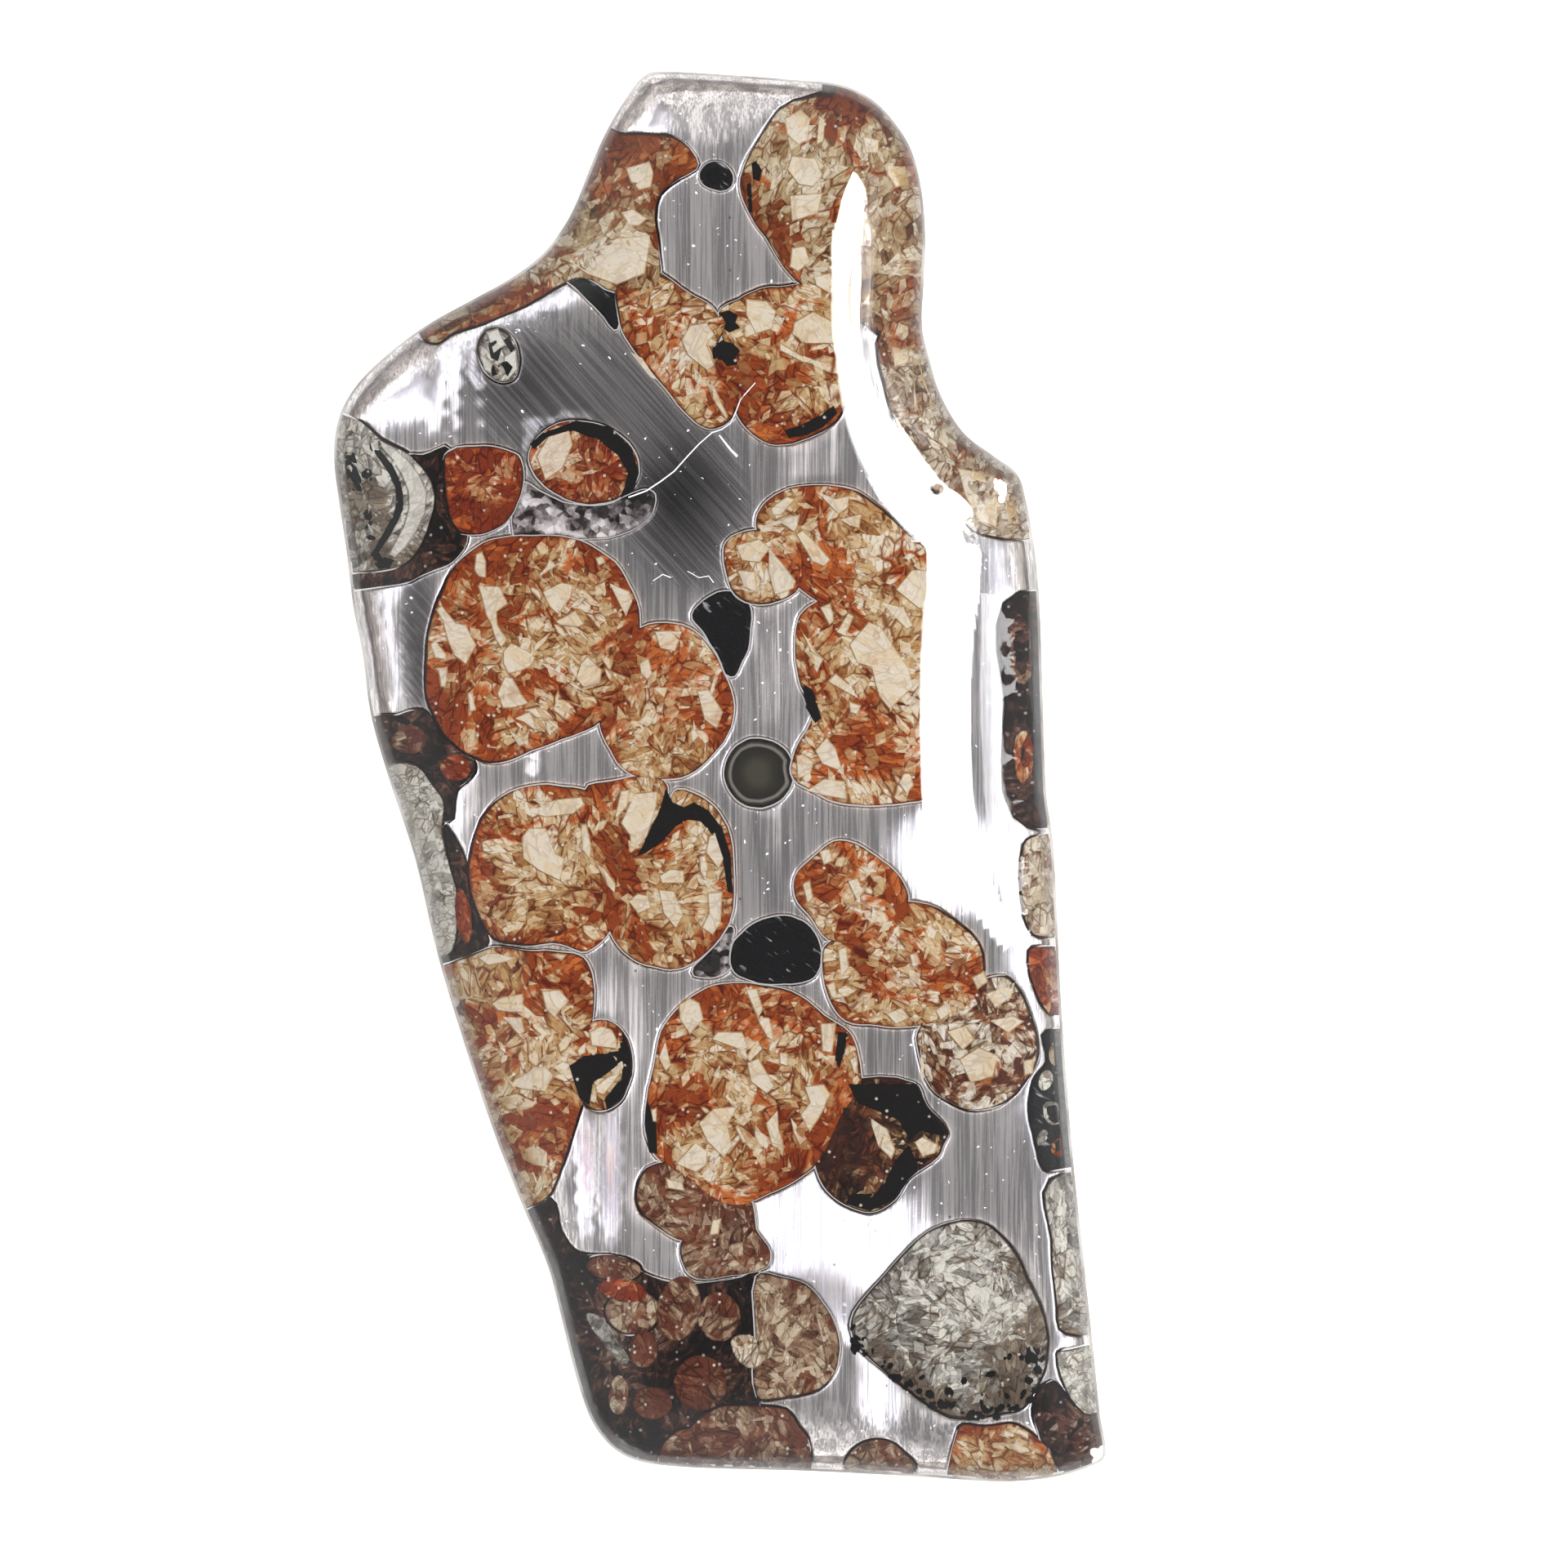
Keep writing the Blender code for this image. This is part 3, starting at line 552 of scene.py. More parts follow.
# Clear windows in the crystals
WINDOWS = {
    "olivine_upper_cluster": (
        ((727, 217), (743, 208), (762, 217), (756, 226), (734, 228)),
        ((769, 208), (798, 200), (803, 214), (800, 232), (785, 236), (775, 226)),
        ((713, 260), (778, 258), (796, 270), (784, 280), (725, 275), (710, 268)),
        ((699, 287), (763, 294), (798, 290), (797, 305), (791, 338), (757, 352), (722, 340), (699, 325)),
        ((834, 418), (845, 399), (866, 396), (876, 411), (866, 423), (876, 449), (866, 456), (842, 437)),
        ((769, 431), (787, 440), (804, 466), (790, 460)),
        ((866, 470), (875, 473), (892, 511), (889, 516), (872, 490)),
        ((913, 367), (939, 370), (951, 382), (945, 405), (925, 411), (913, 387)),
        ((972, 396), (995, 382), (1021, 396), (1021, 423), (986, 423), (969, 411)),
        ((954, 420), (983, 437), (1013, 449), (983, 446), (954, 431)),
        ((960, 150), (980, 138), (992, 150), (989, 176), (977, 182), (963, 170)),
        ((969, 194), (998, 197), (1007, 217), (995, 232), (977, 229), (963, 211)),
        ((966, 241), (1007, 238), (1001, 264), (969, 274)),
        ((969, 305), (986, 302), (992, 323), (977, 335), (966, 329)),
        ((995, 340), (1016, 335), (1021, 364), (998, 352)),
        ((1083, 203), (1101, 206), (1106, 229), (1095, 232), (1083, 217)),
        ((1054, 170), (1074, 173), (1074, 191), (1057, 191)),
        ((1001, 145), (1010, 150), (1008, 178), (998, 182)),
        ((1088, 426), (1113, 423), (1109, 446), (1092, 452)),
        ((1113, 440), (1121, 446), (1144, 500), (1117, 506)),
        ((1170, 575), (1200, 580), (1222, 612), (1218, 648), (1196, 640), (1180, 610)),
        ((1228, 614), (1250, 612), (1254, 640), (1232, 644)),
    ),
    "olivine_small_shard": (
        ((597, 410), (612, 406), (622, 425), (606, 438)), ((618, 440), (634, 430), (636, 455), (622, 468)),
        ((592, 440), (606, 448), (604, 462), (594, 456)),
    ),
    "olivine_red_oval": (
        ((657, 560), (672, 535), (698, 527), (703, 545), (690, 575), (668, 590)),
        ((714, 535), (728, 538), (724, 552)),
    ),
    "olivine_large_pair": (
        ((584, 679), (592, 675), (597, 688), (597, 709), (587, 707), (582, 698)),
        (
            (586, 717), (613, 718), (624, 740), (610, 750), (611, 765), (623, 784), (615, 795), (607, 782),
            (602, 765), (596, 753), (591, 732),
        ),
        ((664, 725), (688, 713), (703, 716), (700, 732), (684, 754), (673, 744)),
        ((679, 761), (692, 755), (705, 747), (717, 765), (709, 769), (686, 767)),
        ((659, 705), (669, 694), (673, 683), (684, 694), (673, 700), (663, 707)),
        (
            (536, 746), (544, 741), (561, 763), (573, 765), (586, 790), (573, 815), (558, 803), (550, 784),
            (545, 763),
        ),
        ((529, 789), (535, 784), (549, 801), (549, 809), (535, 806)),
        ((534, 818), (551, 816), (551, 828), (548, 843), (542, 841), (539, 822)),
        ((617, 797), (627, 787), (648, 797), (657, 805), (652, 816), (640, 822), (623, 826), (617, 813)),
        ((619, 828), (629, 830), (642, 853), (649, 862), (632, 867), (617, 868), (610, 849)),
        ((632, 880), (650, 870), (659, 891), (657, 896), (642, 885)),
        ((626, 895), (638, 901), (646, 911), (636, 915)),
        ((711, 813), (720, 803), (738, 820), (736, 838), (715, 843), (705, 832)),
        ((747, 715), (772, 725), (775, 738), (767, 755), (757, 738)),
        ((574, 847), (581, 849), (586, 870), (577, 872)),
        ((669, 813), (688, 824), (675, 830)),
        ((728, 683), (738, 681), (743, 690), (733, 694)),
        ((801, 773), (822, 772), (833, 784), (827, 799), (808, 795)),
        ((853, 846), (868, 844), (886, 872), (878, 894), (862, 882)),
        ((782, 812), (795, 806), (800, 826), (788, 838)),
    ),
    "olivine_centre_cluster": (
        ((943, 623), (963, 608), (974, 612), (957, 632), (946, 632)),
        ((949, 637), (980, 630), (977, 646), (972, 653), (957, 643)),
        ((974, 655), (983, 649), (1000, 666), (1017, 686), (1009, 695), (994, 689)),
        ((1000, 603), (1023, 611), (1040, 607), (1038, 623), (1026, 632)),
        ((1029, 637), (1055, 629), (1052, 649), (1040, 646)),
        ((900, 668), (930, 660), (944, 672), (930, 690), (908, 688)),
        ((942, 672), (957, 689), (975, 712), (972, 722), (948, 730), (940, 700)),
        ((902, 698), (925, 700), (928, 728), (910, 720)),
        ((1095, 723), (1115, 698), (1135, 698), (1140, 743), (1124, 747)),
        (
            (1039, 790), (1063, 761), (1078, 767), (1112, 818), (1118, 841), (1089, 870), (1075, 853),
            (1066, 818), (1049, 813),
        ),
        ((1012, 835), (1023, 824), (1040, 838), (1052, 856), (1038, 850)),
        ((1003, 744), (1017, 738), (1022, 761), (1015, 767)),
        ((1023, 775), (1038, 750), (1046, 755), (1035, 781)),
        ((982, 774), (1003, 801), (1009, 807), (1000, 824), (992, 798)),
        ((1078, 738), (1106, 744), (1118, 767), (1109, 772), (1092, 755)),
        ((1038, 858), (1055, 864), (1049, 876), (1040, 873)),
        ((997, 919), (1012, 902), (1023, 916), (1032, 945), (1006, 936)),
        ((974, 925), (983, 922), (997, 933), (993, 947), (976, 955)),
        ((988, 968), (1009, 953), (1035, 956), (1037, 980), (1006, 974)),
        ((1099, 959), (1112, 936), (1118, 962), (1109, 973)),
        ((1074, 892), (1088, 900), (1098, 932), (1086, 926)),
    ),
    "olivine_middle_trio": (
        ((649, 994), (682, 978), (713, 975), (717, 985), (703, 997), (670, 1001)),
        (
            (640, 1025), (649, 1013), (670, 1013), (682, 1044), (694, 1051), (687, 1079), (663, 1067),
            (642, 1051),
        ),
        ((711, 1008), (719, 1008), (725, 1034), (723, 1051), (713, 1041)),
        ((732, 1058), (741, 1063), (755, 1082), (753, 1093), (743, 1084)),
        ((760, 968), (772, 966), (769, 987), (755, 1004), (753, 999)),
        ((777, 971), (806, 968), (805, 987), (793, 1025), (773, 1044), (771, 1023), (760, 1008)),
        ((868, 1023), (877, 1020), (887, 1051), (880, 1065), (864, 1044)),
        ((856, 1048), (864, 1046), (868, 1063), (864, 1077), (857, 1067)),
        ((866, 1093), (885, 1091), (883, 1129), (873, 1145), (859, 1136), (868, 1117)),
        ((769, 1103), (781, 1093), (795, 1096), (798, 1112), (781, 1119)),
        ((807, 1072), (821, 1063), (838, 1065), (839, 1082), (810, 1082)),
        ((806, 1088), (826, 1090), (838, 1120), (828, 1138), (812, 1118)),
    ),
    "olivine_left_edge_pair": (
        ((586, 1172), (598, 1166), (612, 1166), (632, 1172), (620, 1178), (600, 1182)),
        ((674, 1168), (685, 1166), (696, 1168), (690, 1176)),
        ((603, 1228), (616, 1219), (643, 1215), (643, 1239), (625, 1239), (612, 1237)),
        ((618, 1244), (641, 1244), (645, 1262), (638, 1268), (627, 1255)),
        ((665, 1212), (687, 1210), (699, 1224), (681, 1246), (670, 1235)),
        ((685, 1277), (694, 1266), (705, 1268), (696, 1284), (687, 1288)),
        ((620, 1326), (643, 1315), (656, 1304), (670, 1304), (681, 1315), (670, 1336), (643, 1333)),
        ((612, 1342), (634, 1337), (661, 1349), (654, 1355), (627, 1358)),
        ((620, 1387), (629, 1375), (643, 1384), (634, 1398), (623, 1398)),
        ((628, 1409), (643, 1407), (656, 1398), (672, 1409), (672, 1429), (656, 1425), (645, 1418)),
        ((636, 1433), (656, 1433), (661, 1447), (643, 1451)),
        ((723, 1262), (737, 1255), (750, 1259), (757, 1273), (756, 1284), (725, 1280)),
        ((730, 1329), (745, 1317), (761, 1302), (760, 1315), (741, 1340), (732, 1337)),
        ((708, 1284), (719, 1275), (719, 1288), (710, 1293)),
    ),
    "olivine_lower_cluster": (
        (
            (912, 1210), (927, 1209), (935, 1235), (929, 1245), (942, 1245), (949, 1275), (939, 1270),
            (929, 1252), (919, 1227),
        ),
        ((954, 1287), (965, 1289), (965, 1306), (954, 1302)),
        ((1004, 1252), (1024, 1251), (1022, 1272), (1019, 1289), (1006, 1287)),
        ((984, 1329), (1009, 1326), (1017, 1339), (1004, 1367), (991, 1386), (979, 1364), (991, 1349)),
        ((968, 1367), (988, 1394), (979, 1403), (971, 1386)),
        ((937, 1374), (952, 1359), (954, 1379), (960, 1401), (959, 1415), (944, 1399)),
        ((874, 1355), (904, 1353), (892, 1377), (897, 1401), (887, 1418), (865, 1396), (855, 1374)),
        ((827, 1424), (852, 1396), (867, 1409), (866, 1426), (852, 1435)),
        ((899, 1379), (904, 1374), (916, 1399), (909, 1399)),
        ((870, 1272), (879, 1262), (909, 1262), (917, 1282), (909, 1286)),
        ((831, 1229), (845, 1221), (857, 1227), (862, 1247), (845, 1267), (832, 1247)),
        ((806, 1294), (815, 1275), (823, 1304), (815, 1312)),
        ((797, 1357), (805, 1354), (805, 1372), (799, 1374)),
        ((914, 1300), (929, 1294), (949, 1329), (939, 1339), (919, 1324)),
        ((1039, 1296), (1049, 1291), (1051, 1315), (1045, 1314)),
        ((1064, 1367), (1086, 1381), (1096, 1406), (1091, 1419), (1076, 1404)),
        ((1118, 1397), (1128, 1390), (1148, 1400), (1144, 1411), (1128, 1416)),
        ((1016, 1370), (1024, 1364), (1018, 1388), (1010, 1392)),
        ((815, 1440), (836, 1446), (840, 1458), (818, 1454)),
        ((872, 1492), (884, 1490), (880, 1510), (868, 1512)),
    ),
    "olivine_right_cluster": (
        ((1037, 1078), (1050, 1074), (1058, 1092), (1048, 1103)),
        ((982, 1082), (992, 1076), (996, 1100), (988, 1107)),
        ((1002, 1042), (1016, 1038), (1020, 1054), (1008, 1060)),
        ((1025, 1162), (1036, 1158), (1040, 1184), (1030, 1194)),
        ((1112, 1168), (1122, 1165), (1127, 1180), (1116, 1185)),
        ((1083, 1240), (1104, 1232), (1114, 1246), (1096, 1254)),
        ((1011, 1205), (1022, 1200), (1026, 1222), (1018, 1222)),
        ((1203, 1216), (1240, 1203), (1236, 1222), (1216, 1234)),
        ((1187, 1196), (1202, 1188), (1208, 1202), (1194, 1212)),
        ((1210, 1249), (1238, 1243), (1252, 1250), (1232, 1265)),
        ((1143, 1236), (1158, 1225), (1165, 1238), (1150, 1250)),
        ((1156, 1262), (1180, 1254), (1192, 1272), (1176, 1286)),
        ((1172, 1296), (1196, 1281), (1221, 1292), (1214, 1318), (1186, 1326)),
        ((1250, 1298), (1264, 1295), (1262, 1314), (1252, 1317)),
        ((1126, 1283), (1131, 1281), (1130, 1326), (1127, 1322)),
        ((1199, 1350), (1216, 1344), (1226, 1348), (1208, 1356)),
    ),
    "olivine_pale_crescent": (
        (
            (468, 540), (486, 550), (504, 565), (518, 584), (526, 604), (524, 628), (514, 650), (500, 670),
            (486, 684), (478, 680), (486, 664), (497, 644), (503, 622), (502, 602), (495, 584), (483, 564),
            (470, 550),
        ),
    ),
    "olivine_pale_corner": (((1297, 1662), (1335, 1660), (1338, 1725), (1322, 1722)),),
    "olivine_rim_pale": (((1256, 1045), (1285, 1030), (1292, 1070), (1268, 1082)),),
}

# Black places in the crystals: dark cracks, specks and holes, and painted shadow where a crystal's hole
# falls into shade
DARKS_AND_PAINTED_SHADOWS = {
    "olivine_small_shard": (
        ((599, 424), (610, 418), (617, 430), (612, 446), (603, 442)),
        ((614, 448), (626, 441), (632, 452), (623, 465)), ((618, 420), (626, 416), (633, 430), (628, 436)),
        ((600, 452), (607, 450), (611, 462), (605, 464)),
    ),
    # The crescent at the upper right is painted shadow in the gap between crystal and metal
    "olivine_red_oval": (
        (
            (650, 545), (664, 532), (706, 516), (748, 524), (774, 549), (783, 580), (776, 602), (760, 611),
            (764, 598), (769, 581), (758, 560), (734, 541), (703, 529), (671, 537), (655, 552),
        ),
    ),
    "olivine_pale_crescent": (
        (
            (455, 541), (470, 553), (484, 570), (493, 588), (497, 606), (497, 624), (490, 640), (480, 658),
            (470, 672), (462, 684), (456, 680), (466, 664), (475, 648), (484, 632), (488, 616), (487, 598),
            (480, 582), (468, 564), (456, 551),
        ),
        ((424, 566), (432, 562), (440, 572), (446, 588), (447, 604), (440, 600), (434, 584), (426, 574)),
        ((461, 690), (474, 682), (486, 686), (480, 696), (466, 697)),
        *specks(((430, 560), (450, 600), (455, 650), (462, 690)), 16, 7.0, 5),
    ),
    "olivine_upper_cluster": (
        ((880, 385), (893, 381), (904, 388), (901, 396), (907, 403), (893, 409), (886, 404), (889, 396)),
        (
            (872, 428), (884, 418), (898, 422), (908, 431), (901, 438), (905, 448), (890, 450), (884, 442),
            (873, 441),
        ),
        ((920, 203), (927, 200), (933, 212), (930, 225), (922, 222)),
        ((914, 228), (920, 226), (922, 262), (917, 262)),
        (
            (960, 528), (985, 520), (1005, 508), (1020, 497), (1024, 508), (1008, 524), (988, 534),
            (966, 538),
        ),
    ),
    # The crescent at the upper right is painted shadow in the gap between crystal and metal
    "olivine_middle_trio": (
        (
            (814, 962), (824, 982), (838, 988), (850, 982), (868, 992), (885, 1014), (895, 1046),
            (898, 1094), (891, 1092), (885, 1052), (874, 1024), (858, 1006), (842, 1004), (828, 1012),
            (812, 1030), (792, 1044), (777, 1050), (790, 1028), (803, 1002),
        ),
    ),
    "olivine_left_edge_pair": (
        (
            (699, 1303), (716, 1292), (756, 1286), (764, 1262), (774, 1290), (775, 1315), (763, 1345),
            (745, 1358), (742, 1344), (762, 1318), (764, 1298), (744, 1314), (728, 1326), (724, 1352),
            (712, 1344), (704, 1320),
        ),
    ),
    "olivine_lower_cluster": (
        (
            (1038, 1326), (1122, 1326), (1134, 1352), (1158, 1384), (1150, 1390), (1128, 1384),
            (1112, 1396), (1100, 1372), (1080, 1362), (1050, 1350),
        ),
        (
            (1096, 1420), (1112, 1400), (1122, 1418), (1146, 1414), (1114, 1441), (1096, 1467),
            (1065, 1482), (1035, 1473), (1040, 1460), (1072, 1460),
        ),
        ((793, 1345), (804, 1376), (806, 1412), (796, 1410), (790, 1376)),
        ((1026, 1262), (1038, 1264), (1034, 1290), (1028, 1310), (1022, 1296)),
    ),
    "olivine_grey_large": (
        *specks(((1046, 1634), (1062, 1656), (1100, 1684), (1134, 1706)), 30, 5.0, 1),
        *specks(((1134, 1706), (1166, 1722), (1222, 1724), (1258, 1706), (1270, 1672)), 44, 7.0, 2),
        *specks(((1226, 1664), (1250, 1656), (1274, 1654)), 14, 4.0, 3),
        *specks(((1130, 1690), (1200, 1704), (1246, 1690)), 12, 14.0, 4),
    ),
    "olivine_centre_cluster": (
        ((982, 836), (996, 846), (1006, 880), (998, 886), (986, 866)),
        ((976, 764), (984, 752), (990, 772), (982, 786)),
    ),
}

# Pale hairs and scratches over the metal: their lines in pixels and their widths
HAIRS = (
    (
        (
            (925, 470), (907, 490), (901, 506), (895, 519), (884, 527), (872, 531), (856, 545), (842, 560),
            (826, 578), (810, 590), (792, 602), (770, 610),
        ),
        0.05 * MM,
    ),
    (((881, 534), (888, 543), (895, 552), (903, 560)), 0.09 * MM),
    (((800, 712), (812, 704), (822, 708)), 0.04 * MM),
    (((842, 700), (856, 708), (868, 706), (874, 714)), 0.04 * MM),
)

# Where the metal leans and glares: middle and half widths in pixels, and the lean
GLARES = (
    ((1008, 1512), (130, 114), (0.446, -0.07)), ((1000, 1600), (62, 52), (0.446, -0.07)),
    ((1150, 1060), (66, 80), (0.446, -0.07)), ((1078, 1700), (30, 70), (0.30, -0.05)),
    ((500, 455), (40, 62), (-0.40, 0.32)), ((450, 460), (22, 50), (-0.20, 0.30)),
    ((533, 465), (12, 80), (-0.43, 0.32)), ((560, 470), (7, 90), (-0.36, 0.27)),
    ((640, 360), (80, 18), (-0.413, 0.316)), ((590, 470), (4, 70), (-0.26, 0.20)),
    ((800, 138), (20, 44), (-0.20, 0.30)), ((850, 150), (60, 50), (0.0, 0.21)),
    ((890, 110), (70, 14), (0.0, -0.10)), ((1275, 1500), (36, 220), (-0.30, 0.0)),
    ((448, 745), (13, 52), (-0.05, 0.30)), ((470, 745), (11, 52), (-0.24, 0.30)),
    ((458, 830), (13, 50), (-0.05, 0.30)), ((480, 830), (11, 50), (-0.24, 0.30)),
    ((575, 1000), (24, 60), (0.0, 0.20)), ((655, 930), (5, 40), (-0.38, 0.29)),
    ((720, 1430), (8, 80), (-0.48, 0.32)), ((750, 1440), (12, 80), (-0.46, 0.32)),
    ((740, 1400), (50, 150), (0.0, 0.18)), ((945, 815), (24, 90), (0.0, 0.20)),
    ((970, 640), (30, 60), (0.0, 0.18)), ((760, 1250), (40, 80), (0.0, 0.20)),
    ((1150, 1730), (60, 60), (0.0, 0.21)), ((1000, 560), (40, 50), (0.0, 0.20)),
    ((945, 1010), (16, 60), (0.0, 0.17)), ((1240, 690), (14, 40), (0.0, 0.20)),
    ((652, 548), (10, 34), (-0.413, 0.316)), ((586, 445), (9, 34), (-0.42, 0.32)),
    ((690, 517), (44, 7), (-0.413, 0.316)),
)
# Painted reflection shade, lighter and darker places in the metal's colour: middle and half widths in
# pixels, and the change
PAINTED_METAL_SHADES = (
    ((735, 520), (165, 145), -0.58), ((850, 640), (75, 95), -0.64), ((620, 450), (60, 60), -0.30),
    ((930, 1060), (60, 60), -0.15), ((1085, 1290), (45, 40), -0.12), ((514, 790), (26, 100), -0.70),
    ((500, 695), (30, 20), -0.35), ((880, 110), (60, 14), -0.25), ((1230, 1450), (60, 60), -0.10),
)

# Both sides of the window's bright reflection in the resin, and of the fainter one beside it, in pixels
BRIGHT_BAND = (
    ((1023, 282), (1030, 282)), ((1020, 292), (1035, 292)), ((1019, 310), (1036, 310)),
    ((1020, 366), (1037, 366)), ((1024, 425), (1043, 423)), ((1028, 475), (1062, 465)),
    ((1040, 520), (1090, 505)), ((1062, 560), (1127, 560)), ((1075, 592), (1150, 590)),
    ((1103, 617), (1178, 618)), ((1115, 646), (1194, 650)), ((1135, 675), (1200, 680)),
    ((1136, 732), (1197, 732)), ((1131, 761), (1190, 775)), ((1128, 818), (1187, 833)),
    ((1127, 899), (1187, 904)), ((1129, 973), (1189, 962)), ((1140, 1010), (1193, 1010)),
    ((1160, 1060), (1200, 1050)), ((1195, 1110), (1222, 1105)), ((1228, 1150), (1236, 1145)),
)
NECK_BAND = (
    ((1060, 250), (1064, 250)), ((1057, 270), (1068, 270)), ((1056, 300), (1070, 300)),
    ((1057, 381), (1068, 381)), ((1064, 430), (1073, 425)), ((1080, 475), (1088, 468)),
    ((1100, 510), (1108, 502)), ((1130, 545), (1136, 538)),
)
FAINT_BAND = (
    ((1201, 735), (1224, 735)), ((1200, 860), (1223, 860)), ((1204, 958), (1226, 958)),
    ((1212, 1040), (1232, 1040)), ((1235, 1130), (1246, 1125)),
)


# Half the least height of a pane, wherever the resin mirrors a band's rows in one place
PANE_SPARE = Vector((0.0, 0.6 * MM, 0.0))
# Lamps: place, size and light, and how wide and bright the glare is that they leave in the metal
LAMPS = {
    "right": ((0.38, -0.06, 0.34), (0.24, 0.30), 7.5, 0.8, 24.0),
    "left": ((-0.34, 0.26, 0.30), (0.22, 0.22), 5.0, 1.25, 18.0),
}
GLARE_COLOUR = (0.74, 0.78, 0.92)  # bluish, because the resin takes most of the blue of far light
FLOOR_REACH = 0.6
FLOOR_HEIGHT = -0.00005
SCALE_HEIGHT = 0.0017  # the height at which the photograph's pixels have their size


class PallasiteSlice(PropertyGroup):
    """Sizes of the slice and its pieces."""

    resin_roll: FloatProperty(
        name="Resin roll", description="How far in from its edge the resin's face becomes flat",
        default=4.8 * MM, min=0.5 * MM, unit="LENGTH",
    )
    neck_roll: FloatProperty(
        name="Neck roll", description="The same at the neck, where it is tighter",
        default=3.45 * MM, min=0.5 * MM, unit="LENGTH",
    )
    slice_roll: FloatProperty(
        name="Slice roll", description="How far in from its edge the polished face becomes flat",
        default=2.6 * MM, min=0.2 * MM, unit="LENGTH",
    )
    metal_bevel: FloatProperty(
        name="Metal bevel", description="Width of the worn edge round each hole in the metal",
        default=0.10 * MM, min=0.02 * MM, unit="LENGTH",
    )
    flake_length: FloatProperty(
        name="Flake length", description="Longest fracture flake in a crystal",
        default=0.75 * MM, min=0.1 * MM, unit="LENGTH",
    )
    flake_density: FloatProperty(
        name="Flake density", description="Fracture flakes on a square metre of crystal",
        default=3.5e6, min=0.0,
    )
    seed: IntProperty(name="Seed", description="Changes what is scattered by chance", default=4, min=0)


class PallasiteFinish(PropertyGroup):
    """Colours of the slice."""

    clear: FloatVectorProperty(
        name="Clear olivine", description="Windows in the crystals", subtype="COLOR", size=3,
        default=(0.82, 0.74, 0.60),
    )
    honey: FloatVectorProperty(
        name="Honey olivine", description="Most of the crystals", subtype="COLOR", size=3,
        default=(0.50, 0.275, 0.10),
    )
    rust: FloatVectorProperty(
        name="Rust", description="Rust in the crystals' cracks", subtype="COLOR", size=3,
        default=(0.28, 0.048, 0.008),
    )
    metal: FloatVectorProperty(
        name="Metal", description="Polished iron and nickel", subtype="COLOR", size=3,
        default=(0.86, 0.81, 0.80),
    )
    resin: FloatVectorProperty(
        name="Resin", description="What thick resin lets through", subtype="COLOR", size=3,
        default=(0.90, 0.88, 0.83),
    )


class PallasiteStage(PropertyGroup):
    """Camera and lights."""

    camera_height: FloatProperty(
        name="Camera height", description="From the slice to the camera",
        default=0.6, min=0.1, unit="LENGTH",
    )
    window_height: FloatProperty(
        name="Window height", description="From the floor to the window that the resin mirrors",
        default=0.06, min=0.02, unit="LENGTH",
    )
    window_light: FloatProperty(
        name="Window light", description="Brightness of that window", default=32.0, min=0.0,
    )
    sky_light: FloatProperty(name="Sky light", description="Brightness of the sky", default=0.9, min=0.0)
    zenith_light: FloatProperty(
        name="Light from above", description="Brightness straight above, where the camera is",
        default=0.3, min=0.0,
    )


def to_metres(pixels):
    """The places of the photograph's pixels on the slice, a row for each."""
    x, y = np.array(pixels, float).T
    middle_x, middle_y = (PHOTO_LEFT + PHOTO_RIGHT) / 2, (PHOTO_TOP + PHOTO_BOTTOM) / 2
    return np.column_stack((x - middle_x, middle_y - y)) * METRES_PER_PIXEL


def anticlockwise(loop):
    """The loop in that order, turned over if it was the other way round."""
    x, y = loop.T
    return loop if (x * np.roll(y, -1) - y * np.roll(x, -1)).sum() > 0 else loop[::-1]


def rounded(pixels, steps=4, uneven=0.05 * MM):
    """A smooth closed loop through an outline's points, a little uneven.

    The same place always moves the same way, so neighbours still fit.
    """
    loop = anticlockwise(to_metres(pixels))
    following = np.roll(loop, -1, 0)
    heading = following - np.roll(loop, 1, 0)
    heading /= np.linalg.norm(heading, axis=1, keepdims=True)
    length = np.linalg.norm(following - loop, axis=1, keepdims=True)
    arriving = np.roll(heading, -1, 0)
    points = []
    for t in np.arange(steps) / steps:
        ahead = t * t * (3 - 2 * t)
        leave, arrive = t * (1 - t) ** 2, t * t * (t - 1)
        between = loop * (1 - ahead) + following * ahead
        points.append(between + length * (heading * leave + arriving * arrive))
    points = np.stack(points, 1).reshape(-1, 2)
    if uneven:
        for size, share in ((0.9 * MM, 1.0), (0.35 * MM, 0.5)):
            moves = [noise.noise_vector(Vector((x, y, 0.0)) / size) for x, y in points]
            points = points + uneven * share * np.array(moves)[:, :2]
    return points


def distances(points, loops, reach=0.1):
    """How far each point is from the nearest side of any loop, up to reach.

    A pair in place of a loop is the sides' starts and ends.
    """
    nearest = np.full(len(points), reach)
    for loop in loops:
        starts, ends = loop if isinstance(loop, tuple) else (loop, np.roll(loop, -1, 0))
        if not len(starts):
            continue
        low, high = starts.min(0) - reach, starts.max(0) + reach
        near = ((points > low) & (points < high)).all(1).nonzero()[0]
        side = ends - starts
        square = (side**2).sum(1)
        for part in np.array_split(near, len(near) // BATCH + 1):
            offset = points[part, None] - starts
            along = np.clip((offset * side).sum(2) / square, 0, 1)
            gap = np.linalg.norm(offset - along[..., None] * side, axis=2).min(1)
            nearest[part] = np.minimum(nearest[part], gap)
    return nearest


def outer_sides(loops):
    """The sides of overlapping loops that lie in no other loop."""
    found = []
    for i, loop in enumerate(loops):
        ends = np.roll(loop, -1, 0)
        bare = ~inside_any((loop + ends) / 2, loops[:i] + loops[i + 1:])
        found.append((loop[bare], ends[bare]))
    return found


